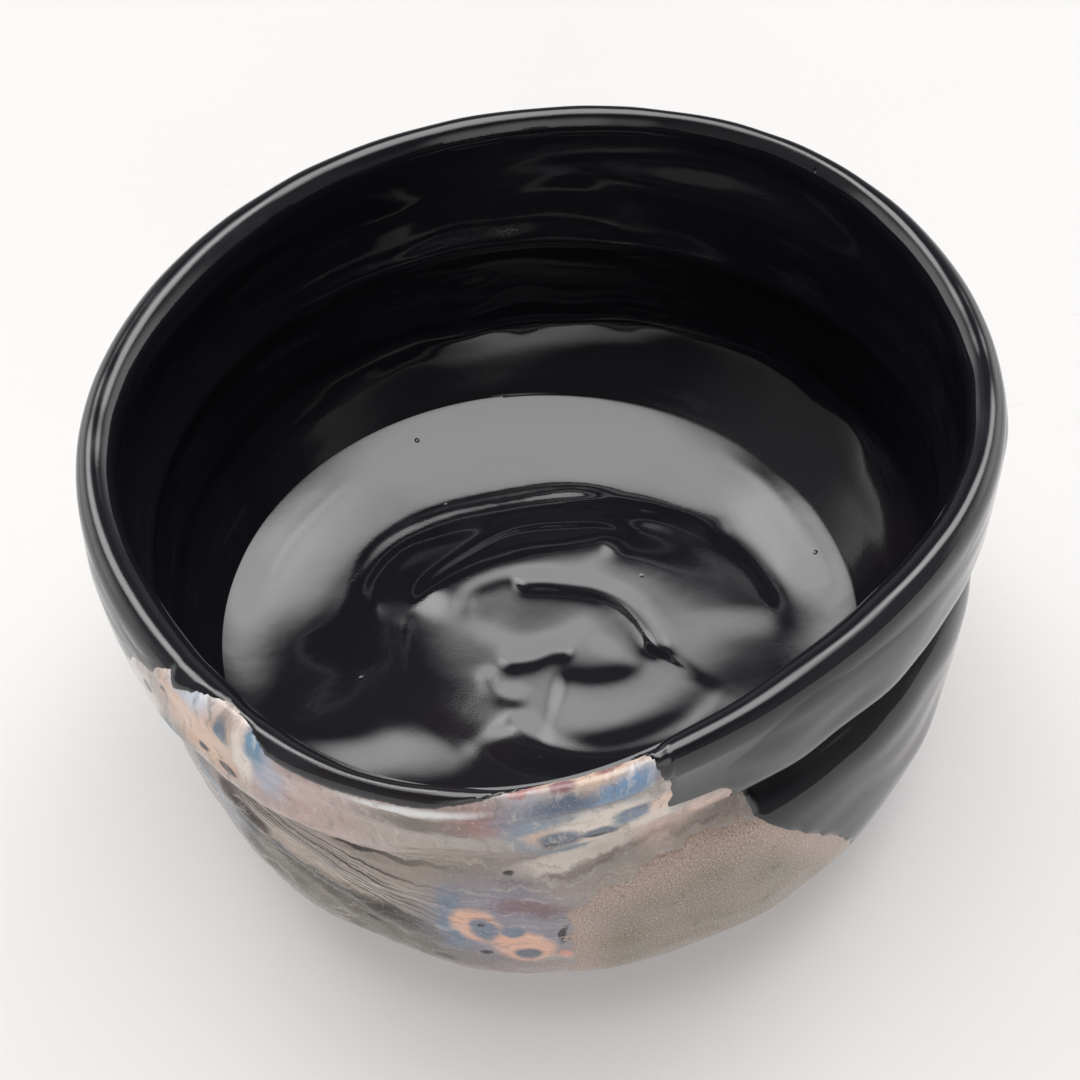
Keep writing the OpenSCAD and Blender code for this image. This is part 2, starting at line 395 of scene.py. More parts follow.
    def normal(self, a: np.ndarray, row: np.ndarray) -> np.ndarray:
        """Unit normals that point out of the clay, with x, y and z on the last axis.

        Args:
            a: Angles in degrees.
            row: Profile rows.

        Returns:
            The normals.
        """
        round_way = self.clay(a + 0.1, row) - self.clay(a - 0.1, row)
        along = self.clay(a, row + 0.02) - self.clay(a, row - 0.02)
        n = np.cross(round_way, along)
        length = np.linalg.norm(n, axis=-1, keepdims=True)
        up = np.zeros_like(n)
        up[..., 2] = 1.0
        n = np.where(length > 1e-9, n / np.maximum(length, 1e-12), up)
        return np.where((row > Row.CENTRE.value - 0.05)[..., None], up, n)

    def rise(self, row: np.ndarray) -> np.ndarray:
        """Mean length of the profile from the glaze line up to a row, in millimetres.

        Args:
            row: Profile rows.

        Returns:
            Lengths in millimetres.
        """
        rows = np.linspace(Row.GLAZE_LINE.value, Row.CENTRE.value, 1200)
        total = np.zeros_like(rows)
        for angle in (20.0, 140.0, 260.0):
            p = self.clay(np.full_like(rows, angle), rows)
            total[1:] += np.cumsum(np.linalg.norm(np.diff(p, axis=0), axis=-1)) / 3
        return np.interp(row, rows, total)


@dataclass
class Shell:
    """Closed solid between a fine front sheet and a coarse back sheet.

    Attributes:
        name: Name of the piece.
        front: Points of the front sheet in millimetres, rows by columns by 3.
        back: Points of the back sheet on the same grid; only every step-th one is used.
        ring: Whether the columns close round the bowl.
        step: How many front cells one back cell spans.
        capped: Whether the last row is closed at its middle.
    """

    name: str
    front: np.ndarray
    back: np.ndarray
    ring: bool
    step: int = 4
    capped: bool = False

    def build(self, scale: float, attributes: dict[str, np.ndarray]) -> bpy.types.Object:
        """Makes the mesh object.

        Args:
            scale: Metres for one unit of the point lists.
            attributes: Point attributes by name, on the front grid.

        Returns:
            The new object, linked to the scene and shaded smooth.
        """
        rows, cols = self.front.shape[:2]
        k = self.step
        back_rows = np.arange(0, rows, k)
        back_cols = np.arange(0, cols, k)
        front_id = np.arange(rows * cols).reshape(rows, cols)
        back_id = rows * cols + np.arange(len(back_rows) * len(back_cols)).reshape(len(back_rows), -1)
        points = np.vstack([self.front.reshape(-1, 3),
                            self.back[np.ix_(back_rows, back_cols)].reshape(-1, 3)])
        if self.ring:
            front_id = np.hstack([front_id, front_id[:, :1]])
            back_id = np.hstack([back_id, back_id[:, :1]])
        faces = self.quads(front_id) + self.quads(back_id[:, ::-1])
        faces += self.border(front_id[0], back_id[0])
        if self.capped:
            faces += [tuple(front_id[-1][:-1].tolist()), tuple(back_id[-1][:-1][::-1].tolist())]
        else:
            faces += self.border(front_id[-1][::-1], back_id[-1][::-1])
        if not self.ring:
            faces += self.border(front_id[:, -1], back_id[:, -1])
            faces += self.border(front_id[::-1, 0], back_id[::-1, 0])
        mesh = bpy.data.meshes.new(self.name)
        mesh.from_pydata((points * scale).tolist(), [], faces)
        mesh.polygons.foreach_set("use_smooth", [True] * len(mesh.polygons))
        for label, values in attributes.items():
            full = np.concatenate([values.ravel(), values[np.ix_(back_rows, back_cols)].ravel()])
            layer = mesh.attributes.new(label, "FLOAT", "POINT")
            layer.data.foreach_set("value", full.astype(np.float32))
        mesh.set_sharp_from_angle(angle=math.radians(50))
        mesh.update()
        made = bpy.data.objects.new(self.name, mesh)
        bpy.context.scene.collection.objects.link(made)
        return made

    @staticmethod
    def quads(ids: np.ndarray) -> list[tuple[int, ...]]:
        """Quads between neighbouring rows and columns of a grid of vertex numbers."""
        stacked = np.stack([ids[:-1, :-1], ids[:-1, 1:], ids[1:, 1:], ids[1:, :-1]], axis=-1)
        return [tuple(q) for q in stacked.reshape(-1, 4).tolist()]

    def border(self, fine: np.ndarray, coarse: np.ndarray) -> list[tuple[int, ...]]:
        """Triangles that join a fine edge to the coarse edge behind it.

        Args:
            fine: Vertex numbers along the front edge.
            coarse: Vertex numbers along the back edge.

        Returns:
            Triangles that face away from the sheet.
        """
        out: list[tuple[int, ...]] = []
        half = self.step // 2
        for i in range(len(coarse) - 1):
            at = i * self.step
            for j in range(self.step):
                anchor = coarse[i] if j < half else coarse[i + 1]
                out.append((int(anchor), int(fine[at + j + 1]), int(fine[at + j])))
            out.append((int(coarse[i]), int(coarse[i + 1]), int(fine[at + half])))
        return out


class Nodes:
    """Short hand for building a node material."""

    def __init__(self, name: str) -> None:
        """Starts an empty material with an output and a main shader.

        Args:
            name: Name of the material.
        """
        self.material = bpy.data.materials.new(name)
        self.material.use_nodes = True
        self.tree = self.material.node_tree
        self.tree.nodes.clear()
        self.output = self.tree.nodes.new("ShaderNodeOutputMaterial")
        self.shader = self.tree.nodes.new("ShaderNodeBsdfPrincipled")
        self.tree.links.new(self.shader.outputs[0], self.output.inputs["Surface"])

    @classmethod
    def on_tree(cls, tree: bpy.types.NodeTree) -> "Nodes":
        """Short hand for a tree that already exists.

        Args:
            tree: The node tree.

        Returns:
            Short hand for that tree.
        """
        made = cls.__new__(cls)
        made.tree = tree
        return made

    def add(self, kind: str, inputs: dict | None = None, **settings: object) -> bpy.types.Node:
        """Adds a node.

        Args:
            kind: Node type without the ShaderNode prefix.
            inputs: Values or sockets to put on its inputs, by name or number.
            **settings: Properties of the node.

        Returns:
            The new node.
        """
        node = self.tree.nodes.new("ShaderNode" + kind)
        for key, value in settings.items():
            setattr(node, key, value)
        for key, value in (inputs or {}).items():
            self.put(node.inputs[key], value)
        return node

    def put(self, socket: bpy.types.NodeSocket, value: object) -> None:
        """Links a socket to another, or sets its value."""
        if isinstance(value, bpy.types.NodeSocket):
            self.tree.links.new(value, socket)
        else:
            socket.default_value = value

    def math(self, operation: str, *values: object) -> bpy.types.NodeSocket:
        """Result of a math node.

        Args:
            operation: Name of the operation.
            *values: Its sockets or numbers.

        Returns:
            The resulting socket.
        """
        node = self.add("Math", operation=operation)
        for i, value in enumerate(values):
            self.put(node.inputs[i], value)
        return node.outputs[0]

    def range(self, value: object, low: float, high: float, to_low: float = 0.0,
              to_high: float = 1.0, smooth: bool = True) -> bpy.types.NodeSocket:
        """Value carried from one range to another.

        Args:
            value: Socket or number to carry over.
            low: Start of the range that it comes from.
            high: End of the range that it comes from.
            to_low: Result at low.
            to_high: Result at high.
            smooth: Whether the step is eased at both ends.

        Returns:
            The resulting socket.
        """
        node = self.add("MapRange", interpolation_type="SMOOTHSTEP" if smooth else "LINEAR")
        for key, item in zip(("Value", "From Min", "From Max", "To Min", "To Max"),
                             (value, low, high, to_low, to_high)):
            self.put(node.inputs[key], item)
        return node.outputs["Result"]

    def blend(self, share: object, first: object, second: object,
              mode: str = "MIX") -> bpy.types.NodeSocket:
        """Mix of two colours.

        Args:
            share: How much of the second colour shows.
            first: Colour or socket below.
            second: Colour or socket above.
            mode: Blend mode.

        Returns:
            The mixed colour.
        """
        node = self.add("Mix", data_type="RGBA", blend_type=mode)
        self.put(node.inputs[0], share)
        self.put(node.inputs[6], first)
        self.put(node.inputs[7], second)
        return node.outputs[2]

    def noise(self, vector: object, scale: float, detail: float = 3.0, roughness: float = 0.5,
              seed: float = 0.0) -> bpy.types.Node:
        """Noise node that reads the given coordinates."""
        inputs = {"Vector": vector, "W": seed, "Scale": scale, "Detail": detail, "Roughness": roughness}
        return self.add("TexNoise", inputs, noise_dimensions="4D")

    def bump(self, height: object, distance: float, below: object = None) -> bpy.types.NodeSocket:
        """Normal with fine relief.

        Args:
            height: Height socket, from 0 to 1.
            distance: Real height of the relief in metres.
            below: Normal that the relief is added to.

        Returns:
            The resulting normal.
        """
        inputs = {"Height": height, "Distance": distance, "Strength": 1.0}
        if below is not None:
            inputs["Normal"] = below
        return self.add("Bump", inputs).outputs[0]

    def position(self) -> bpy.types.NodeSocket:
        """Object coordinates in metres."""
        return self.add("TexCoord").outputs["Object"]

    def attribute(self, name: str) -> bpy.types.NodeSocket:
        """Value of a point attribute."""
        return self.add("Attribute", attribute_name=name).outputs["Fac"]


Color = tuple[float, float, float, float]


def paint(red: int, green: int, blue: int) -> Color:
    """Linear colour for a paint chip given in ordinary 8-bit values."""
    def linear(value: int) -> float:
        """Linear value of a display value."""
        share = value / 255
        return share / 12.92 if share <= 0.04045 else ((share + 0.055) / 1.055) ** 2.4
    return (linear(red), linear(green), linear(blue), 1.0)


@dataclass(frozen=True)
class BlackGlaze:
    """Glossy iron black with grain, pinholes and faint streaks, part whisk scratches, part painted
    reflection.
    """

    body: Color = paint(23, 23, 28)
    rust: Color = paint(44, 34, 33)
    roughness: float = 0.05
    grain: float = 0.00001

    def material(self) -> bpy.types.Material:
        """Builds the material."""
        book = Nodes("black_glaze")
        place = book.position()
        drift = book.noise(place, 22.0, detail=4.0, seed=1.0)
        cloud = book.range(drift.outputs["Fac"], 0.52, 0.78)
        # Faint grey streaks round the bowl: partly whisk scratches in the glaze, partly painted reflection
        # of the throwing ridges.
        stretched = book.add("Mapping", {"Vector": place, "Scale": (1.0, 1.0, 7.0)}).outputs[0]
        streak = book.noise(stretched, 60.0, detail=3.0, seed=4.0)
        thread = book.range(streak.outputs["Fac"], 0.60, 0.70)
        colour = book.blend(book.math("MULTIPLY", cloud, 0.35), self.body, self.rust)
        colour = book.blend(book.math("MULTIPLY", thread, 0.12), colour, paint(70, 66, 74))
        pits = book.add("TexVoronoi", {"Vector": place, "Scale": 210.0, "Randomness": 1.0})
        rare = book.noise(place, 95.0, detail=1.0, seed=9.0)
        chosen = book.range(rare.outputs["Fac"], 0.60, 0.66)
        pit = book.math("MULTIPLY", book.range(pits.outputs["Distance"], 0.10, 0.03), chosen)
        fine = book.noise(place, 3800.0, detail=1.0, seed=2.0)
        wave = book.noise(place, 190.0, detail=2.0, seed=3.0)
        where = book.range(drift.outputs["Fac"], 0.40, 0.60, 0.15, 1.0)
        height = book.math("MULTIPLY", fine.outputs["Fac"], where)
        normal = book.bump(height, self.grain)
        normal = book.bump(wave.outputs["Fac"], 0.000035, normal)
        normal = book.bump(book.math("SUBTRACT", 1.0, pit), 0.00012, normal)
        book.put(book.shader.inputs["Base Color"], colour)
        book.shader.inputs["IOR"].default_value = 1.6
        rough = book.range(streak.outputs["Fac"], 0.3, 0.8, self.roughness, self.roughness + 0.05)
        book.put(book.shader.inputs["Roughness"], rough)
        book.put(book.shader.inputs["Normal"], normal)
        return book.material


@dataclass(frozen=True)
class Stoneware:
    """Bare fired clay with grog, iron specks and a scorched blush."""

    body: Color = paint(164, 132, 104)
    toast: Color = paint(132, 92, 66)
    speck: Color = paint(66, 48, 38)
    name: str = "stoneware"

    def material(self) -> bpy.types.Material:
        """Builds the material."""
        book = Nodes(self.name)
        place = book.position()
        blush = book.noise(place, 38.0, detail=4.0, seed=1.0)
        colour = book.blend(book.range(blush.outputs["Fac"], 0.4, 0.65), self.body, self.toast)
        grog = book.add("TexVoronoi", {"Vector": place, "Scale": 900.0})
        pale = book.range(grog.outputs["Distance"], 0.35, 0.12)
        colour = book.blend(book.math("MULTIPLY", pale, 0.3), colour, paint(196, 170, 142))
        iron = book.noise(place, 620.0, detail=1.0, seed=5.0)
        dots = book.range(iron.outputs["Fac"], 0.66, 0.72)
        colour = book.blend(dots, colour, self.speck)
        tooth = book.noise(place, 1500.0, detail=4.0, roughness=0.7, seed=7.0)
        normal = book.bump(tooth.outputs["Fac"], 0.00009)
        normal = book.bump(pale, 0.00006, normal)
        book.put(book.shader.inputs["Base Color"], colour)
        book.put(book.shader.inputs["Roughness"], book.range(blush.outputs["Fac"], 0.3, 0.7, 0.72, 0.9))
        book.put(book.shader.inputs["Normal"], normal)
        return book.material


class Bend(Enum):
    """How much the edge of a blot strays."""

    CALM = "calm"
    LOOSE = "loose"
    WILD = "wild"


@dataclass(frozen=True)
class Blot:
    """A soft patch of colour in the window.

    Attributes:
        angle: Middle of the patch round the bowl, in degrees.
        rise: Middle of the patch up the profile, in millimetres.
        across: Half width round the bowl, in millimetres.
        tall: Half height up the profile, in millimetres.
        color: Its colour.
        turn: How far it leans to the left, in degrees.
        soft: Share of its radius over which it fades out.
        strength: How strongly it covers what is below.
        bend: How much its edge strays.
    """

    angle: float
    rise: float
    across: float
    tall: float
    color: Color
    turn: float = 0.0
    soft: float = 0.35
    strength: float = 1.0
    bend: Bend = Bend.LOOSE


@dataclass(frozen=True)
class MarbledGlaze:
    """Window glaze that marbles pink, cream, blue-grey, olive and brown, with painted shade in its lower
    left and a painted highlight under the black lip.
    """

    ground: Color = paint(168, 156, 149)
    radius: float = 61.0

    def blots(self) -> tuple[Blot, ...]:
        """Patches in the order in which they lie on each other."""
        pink, cream = paint(195, 166, 160), paint(236, 223, 211)
        olive_and_shade, brown, peach = paint(108, 101, 90), paint(70, 48, 44), paint(228, 190, 166)
        slate, dark, salmon = paint(99, 112, 128), paint(40, 38, 42), paint(236, 186, 161)
        pale, mauve, wine = paint(222, 217, 215), paint(148, 143, 155), paint(130, 96, 99)
        calm, wild = Bend.CALM, Bend.WILD
        return (
            Blot(245, 68, 13, 11, pink, soft=0.6, bend=wild),
            Blot(256, 64, 10, 8, paint(177, 167, 159), soft=0.6, strength=0.8, bend=wild),
            Blot(213, 66, 6, 9, paint(220, 213, 208), turn=20, soft=0.6, bend=wild),
            Blot(227, 73, 6, 8, peach, turn=25, soft=0.5, bend=wild),
            Blot(226, 79.5, 4, 2.6, paint(188, 193, 204), soft=0.5),
            Blot(237.5, 73, 2.6, 7, paint(168, 170, 188), turn=-8, soft=0.6, bend=wild),
            Blot(236.5, 77, 1.5, 4.5, paint(108, 141, 166), turn=-8, soft=0.4),
            Blot(233.8, 72, 1.4, 6.5, cream, turn=-6, soft=0.4),
            Blot(231.5, 76.5, 1.1, 2.2, paint(96, 112, 128), soft=0.4, bend=calm),
            Blot(231, 82, 4.2, 1.4, paint(116, 96, 90), soft=0.5),
            Blot(233, 82.2, 1.2, 0.8, dark, soft=0.5, strength=0.8),
            Blot(227, 68, 0.9, 0.8, dark, soft=0.4, bend=calm),
            Blot(230.5, 66.5, 1.5, 0.9, brown, turn=-20, soft=0.3, bend=calm),
            Blot(222, 62.5, 3.2, 4.2, slate, turn=28, soft=0.5),
            Blot(225, 60, 1.2, 2.4, pale, turn=28, soft=0.5, strength=0.8),
            Blot(256, 72.0, 8, 3.4, paint(94, 84, 72), turn=2, soft=0.6, bend=wild),
            Blot(263, 73.5, 5.5, 4.5, paint(157, 112, 108), soft=0.55, bend=wild),
            # Painted highlight: a thin near-white line along the lower edge of the black lip band.
            Blot(255, 77.0, 7.5, 0.6, paint(236, 236, 236), turn=2, soft=0.6, bend=calm),
            Blot(251, 52, 19, 6, paint(166, 153, 144), soft=0.5, bend=wild),
            # The olive patch and the dark band under the fold are partly the glaze's own colour and partly
            # painted shade darkening the window's lower left.
            Blot(243, 38, 22, 8, olive_and_shade, soft=0.4, bend=wild),
            Blot(240, 48.5, 11, 2.4, paint(193, 179, 167), turn=-22, soft=0.5, bend=wild),
            Blot(241, 43.6, 15, 2.6, paint(46, 40, 33), turn=-10, soft=0.5, bend=calm),
            Blot(233, 46.5, 2.6, 1.6, paint(52, 56, 68), turn=-24, soft=0.4),
            Blot(224, 49, 2.2, 7.5, slate, turn=34, soft=0.5),
            Blot(226, 43, 2.4, 4.0, dark, turn=30, soft=0.5, strength=0.8),
            Blot(220, 44, 3.5, 6, paint(125, 137, 152), turn=34, soft=0.6, bend=wild),
            Blot(268, 69, 4.0, 10, paint(132, 146, 166), turn=12, soft=0.6, bend=wild),
            Blot(275, 65, 10, 9, paint(130, 146, 159), turn=-10, soft=0.3, bend=wild),
            Blot(276.5, 66.5, 7.6, 6.8, cream, turn=-14, soft=0.3, bend=wild),
            Blot(271.5, 76.5, 4.5, 2.2, paint(90, 103, 125), turn=6, soft=0.5, bend=wild),
            Blot(277.5, 77.5, 4.0, 2.2, paint(116, 146, 179), turn=14, soft=0.5, bend=wild),
            Blot(285, 61, 6.5, 4.5, paint(228, 199, 186), turn=30, soft=0.4, bend=wild),
            Blot(268.5, 66, 2.6, 2.8, peach, soft=0.5, strength=0.7, bend=wild),
            Blot(270.5, 64.5, 2.6, 3.0, slate, turn=10, soft=0.35),
            Blot(275, 64.8, 2.4, 1.5, slate, turn=8, soft=0.35),
            Blot(278.5, 68.5, 1.9, 3.0, paint(116, 134, 155), turn=-30, soft=0.4),
            Blot(269.5, 60.8, 2.4, 1.4, paint(132, 146, 161), turn=4, soft=0.4),
            Blot(281.5, 69.5, 1.6, 2.4, paint(236, 204, 184), soft=0.5, bend=wild),
            Blot(269.3, 64, 0.9, 0.5, dark, soft=0.3, bend=calm),
            Blot(269.0, 62, 0.9, 0.5, dark, soft=0.3, bend=calm),
            Blot(274.3, 64.2, 1.2, 0.5, dark, turn=10, soft=0.3, bend=calm),
            Blot(271, 60.6, 0.5, 0.35, dark, soft=0.3, bend=calm),
            Blot(272.5, 56.4, 8.5, 1.3, cream, turn=7, soft=0.4),
            Blot(274, 55.0, 9.0, 0.5, paint(143, 125, 116), turn=9, soft=0.5, strength=0.7),
            Blot(263, 45, 10.5, 9.5, mauve, soft=0.4, bend=wild),
            Blot(266.5, 49.5, 5.0, 1.6, wine, soft=0.6, strength=0.75, bend=wild),
            Blot(257, 45, 2.2, 6, paint(119, 137, 159), soft=0.6, bend=wild),
            Blot(259.6, 44.4, 3.2, 4.0, salmon, turn=24, soft=0.25),
            Blot(260.8, 43.6, 1.9, 2.7, paint(116, 128, 146), turn=18, soft=0.3),
            Blot(265.2, 39.6, 4.0, 3.8, salmon, soft=0.25),
            Blot(264.2, 43.3, 1.6, 1.3, paint(116, 128, 146), soft=0.35),
            Blot(265.6, 37.6, 1.8, 1.4, paint(108, 112, 125), soft=0.3, bend=calm),
            Blot(260.5, 37.5, 0.8, 0.6, dark, soft=0.3, bend=calm),
            Blot(260.4, 44.6, 0.5, 0.5, dark, soft=0.3, bend=calm),
            Blot(270.4, 43, 0.5, 2.2, dark, turn=-12, soft=0.4),
            Blot(270, 37.5, 1.1, 0.8, paint(220, 155, 137), soft=0.5),
            Blot(255.3, 34, 1.7, 0.7, dark, turn=-12, soft=0.3, bend=calm),
            Blot(246, 38.5, 1.0, 0.4, dark, turn=-10, soft=0.4, bend=calm),
            Blot(264, 55, 0.7, 0.35, dark, soft=0.4, bend=calm),
            Blot(262, 30, 9, 5, paint(157, 143, 143), soft=0.6, strength=0.8, bend=wild),
            Blot(274, 81.2, 6.5, 1.9, paint(188, 164, 146), soft=0.6),
            Blot(267, 80.4, 2.6, 0.9, paint(159, 116, 112), turn=4, soft=0.5, bend=wild),
            Blot(270.8, 79.9, 1.5, 0.9, wine, soft=0.35, bend=calm),
            Blot(276, 80.9, 1.7, 0.7, paint(132, 99, 94), turn=8, soft=0.35, bend=calm),
            Blot(228.5, 51, 2.9, 5.6, brown, turn=38, soft=0.2, bend=calm),
            Blot(228.5, 51, 1.6, 4.4, paint(38, 27, 27), turn=38, soft=0.4, strength=0.7, bend=calm),
        )

    def material(self) -> bpy.types.Material:
        """Builds the material."""
        book = Nodes("marbled_glaze")
        to_mm = math.radians(self.radius)
        flat = book.add("CombineXYZ", {"X": book.math("MULTIPLY", book.attribute("angle"), to_mm),
                                       "Y": book.attribute("rise")}).outputs[0]
        bent = {bend: self.bent(book, flat, *sizes) for bend, sizes in
                {Bend.CALM: (0.6, 0.4), Bend.LOOSE: (2.2, 1.6), Bend.WILD: (5.5, 3.2)}.items()}
        colour: object = self.ground
        for blot in self.blots():
            inputs = {"Vector": bent[blot.bend], "Location": (blot.angle * to_mm, blot.rise, 0.0),
                      "Rotation": (0.0, 0.0, math.radians(blot.turn)),
                      "Scale": (blot.across, blot.tall, 1.0)}
            near = book.add("Mapping", inputs, vector_type="TEXTURE").outputs[0]
            far = book.add("VectorMath", {0: near}, operation="LENGTH").outputs["Value"]
            share = book.range(far, 1 + blot.soft, 1 - blot.soft, 0.0, blot.strength)
            colour = book.blend(share, colour, blot.color)
        colour = self.streaks(book, flat, bent[Bend.WILD], colour)
        colour = self.threads(book, flat, colour)
        fine = book.noise(flat, 2.6, detail=4.0, roughness=0.75, seed=11.0).outputs["Fac"]
        colour = book.blend(book.range(fine, 0.54, 0.72, 0.0, 0.32), colour, paint(94, 85, 87))
        colour = book.blend(book.range(fine, 0.46, 0.30, 0.0, 0.3), colour, paint(236, 236, 233))
        ripple = book.noise(flat, 0.30, detail=3.0, seed=12.0).outputs["Fac"]
        normal = book.bump(ripple, 0.00012)
        normal = book.bump(fine, 0.000018, normal)
        book.put(book.shader.inputs["Base Color"], colour)
        book.shader.inputs["IOR"].default_value = 1.5
        book.put(book.shader.inputs["Roughness"], book.range(fine, 0.3, 0.7, 0.12, 0.26))
        book.put(book.shader.inputs["Normal"], normal)
        return book.material

    @staticmethod
    def bent(book: Nodes, flat: object, sway: float, fray: float) -> bpy.types.NodeSocket:
        """Unrolled coordinates that stray from their place.

        Args:
            book: Material under construction.
            flat: Unrolled coordinates in millimetres.
            sway: Slow straying in millimetres.
            fray: Quick straying in millimetres.

        Returns:
            The bent coordinates.
        """
        moved = flat
        for size, scale, detail, seed in ((sway, 0.11, 1.0, 3.0), (fray, 0.6, 4.0, 6.0)):
            cloud = book.noise(flat, scale, detail=detail, roughness=0.6, seed=seed).outputs["Color"]
            off = book.add("VectorMath", {0: cloud, 1: (0.5, 0.5, 0.5)}, operation="SUBTRACT").outputs[0]
            off = book.add("VectorMath", {0: off, 1: (size, size, 0.0)}, operation="MULTIPLY").outputs[0]
            moved = book.add("VectorMath", {0: moved, 1: off}).outputs[0]
        return moved

    @staticmethod
    def streaks(book: Nodes, flat: object, bent: object, colour: object) -> bpy.types.NodeSocket:
        """Long thin streaks that sweep round the bowl, and short ones that run down from the lip.

        Args:
            book: Material under construction.
            flat: Unrolled coordinates in millimetres.
            bent: The same, bent.
            colour: Colour below the streaks.

        Returns:
            Colour with the streaks on it.
        """
        rise = book.add("SeparateXYZ", {0: flat}).outputs["Y"]
        sweeping, running = (0.10, 1.1, 1.0), (0.9, 0.16, 1.0)
        for scale, low, high, seed in ((sweeping, 60.0, 66.0, 21.0), (running, 64.0, 58.0, 23.0)):
            comb = book.add("Mapping", {"Vector": bent, "Scale": scale}).outputs[0]
            streak = book.noise(comb, 1.0, detail=3.0, roughness=0.6, seed=seed).outputs["Fac"]
            zone = book.range(rise, high, low)
            light = book.math("MULTIPLY", book.range(streak, 0.54, 0.66, 0.0, 0.35), zone)
            colour = book.blend(light, colour, paint(233, 222, 211))
            deep = book.math("MULTIPLY", book.range(streak, 0.46, 0.34, 0.0, 0.5), zone)
            colour = book.blend(deep, colour, paint(116, 112, 110))
        return colour

    def threads(self, book: Nodes, flat: object, colour: object) -> bpy.types.NodeSocket:
        """Fine dark threads that fan out from the left along the waist.

        Args:
            book: Material under construction.
            flat: Unrolled coordinates in millimetres.
            colour: Colour below the threads.

        Returns:
            Colour with the threads on it.
        """
        left, waist = 226 * math.radians(self.radius), 58.0
        moved = book.add("VectorMath", {0: flat, 1: (left, waist, 0.0)}, operation="SUBTRACT").outputs[0]
        parts = book.add("SeparateXYZ", {0: moved}).outputs
        fan = book.math("DIVIDE", parts["Y"], book.math("ADD", parts["X"], 5.0))
        wobble = book.noise(flat, 0.25, detail=3.0, seed=15.0).outputs["Fac"]
        line = book.math("ADD", book.math("MULTIPLY", fan, 30.0), book.math("MULTIPLY", wobble, 2.5))
        comb = book.noise(book.add("CombineXYZ", {"X": line}).outputs[0], 1.4, detail=3.0, seed=17.0)
        thread = book.range(comb.outputs["Fac"], 0.52, 0.57)
        near = book.math("MULTIPLY", book.range(fan, -0.55, -0.45), book.range(fan, 0.03, -0.03))
        reach = book.math("MULTIPLY", book.range(parts["X"], 38.0, 20.0), book.range(parts["X"], -2.0, 3.0))
        share = book.math("MULTIPLY", thread, book.math("MULTIPLY", near, reach))
        return book.blend(book.math("MULTIPLY", share, 0.95), colour, paint(48, 41, 38))


@dataclass(frozen=True)
class TaupeGlaze:
    """Finely speckled taupe glaze with a pinkish grain along its upper edge."""

    ground: Color = paint(155, 141, 129)
    radius: float = 61.0

    def material(self) -> bpy.types.Material:
        """Builds the material."""
        book = Nodes("taupe_glaze")
        round_way = book.math("MULTIPLY", book.attribute("angle"), math.radians(self.radius))
        up = book.attribute("rise")
        flat = book.add("CombineXYZ", {"X": round_way, "Y": up}).outputs[0]
        cloud = book.noise(flat, 0.12, detail=4.0, seed=2.0).outputs["Fac"]
        grain = book.noise(flat, 3.6, detail=3.0, roughness=0.75, seed=5.0).outputs["Fac"]
        colour = book.blend(book.range(cloud, 0.40, 0.62), self.ground, paint(141, 131, 115))
        edge = book.attribute("edge")
        rim = book.range(edge, 7.0, 1.0)
        colour = book.blend(book.math("MULTIPLY", rim, 0.6), colour, paint(197, 170, 159))
        colour = book.blend(book.range(grain, 0.51, 0.64, 0.0, 0.75), colour, paint(94, 84, 74))
        colour = book.blend(book.range(grain, 0.46, 0.34, 0.0, 0.75), colour, paint(231, 215, 204))
        blotch = book.noise(flat, 0.35, detail=2.0, seed=8.0).outputs["Fac"]
        colour = book.blend(book.range(blotch, 0.66, 0.72, 0.0, 0.6), colour, paint(108, 94, 85))
        normal = book.bump(cloud, 0.00008)
        normal = book.bump(grain, 0.000014, normal)
        book.put(book.shader.inputs["Base Color"], colour)
        book.shader.inputs["IOR"].default_value = 1.5
        book.put(book.shader.inputs["Roughness"], book.range(grain, 0.3, 0.7, 0.12, 0.24))
        book.put(book.shader.inputs["Normal"], normal)
        return book.material


@dataclass(frozen=True)
class WindowEdges:
    """Outline of the glaze window, as angles for heights up the profile in millimetres."""

    left: tuple[tuple[float, float], ...] = (
        (0, 206), (25, 205), (45, 203), (60, 205), (70, 209), (73, 213), (75, 218), (78, 222), (82, 225))
    right: tuple[tuple[float, float], ...] = (
        (0, 317), (20, 315), (28, 313), (34, 310.5), (40, 307), (44.5, 303), (50, 298), (54, 294),
        (57, 294.5), (60, 291.5), (66, 289.5), (69, 286), (73, 282.5), (82, 280.5))
    lip_low: tuple[tuple[float, float], ...] = (
        (222, 74), (224, 77.6), (227, 79.2), (231, 80.2), (235, 79.8), (238.6, 77.8), (246, 77.2),
        (256, 77.6), (262, 79.0), (266, 80.2), (269, 81.4), (272, 82.6), (278, 82.6), (280.4, 80), (282, 74))
    taupe_top: tuple[tuple[float, float], ...] = (
        (268, 44), (272, 50), (280, 53.5), (287, 55), (293.5, 54.7), (310, 54))
    radius: float = 61.0

    def left_at(self, rise: np.ndarray) -> np.ndarray:
        """Angle of the left edge at a height."""
        return np.interp(rise, *zip(*self.left))

    def right_at(self, rise: np.ndarray) -> np.ndarray:
        """Angle of the right edge at a height."""
        return np.interp(rise, *zip(*self.right))

    def lip_low_at(self, angle: np.ndarray) -> np.ndarray:
        """Height of the black lip's lower edge at an angle."""
        return np.interp(angle, *zip(*self.lip_low))

    def taupe_top_at(self, angle: np.ndarray) -> np.ndarray:
        """Height of the taupe glaze's upper edge at an angle."""
        return np.interp(angle, *zip(*self.taupe_top))

    def to_mm(self, degrees: np.ndarray) -> np.ndarray:
        """Distance round the bowl for an angle in degrees."""
        return degrees * math.radians(self.radius)


def around(points: Sequence[tuple[float, float]], height: float, left: float, right: float,
           taper: float = 0.2, radius: float = 61.0) -> Stroke:
    """Stroke on the outside, with points as angle in degrees and height up the profile in mm."""
    to_mm = math.radians(radius)
    return Stroke(tuple((angle * to_mm, rise) for angle, rise in points), height, left, right, taper)


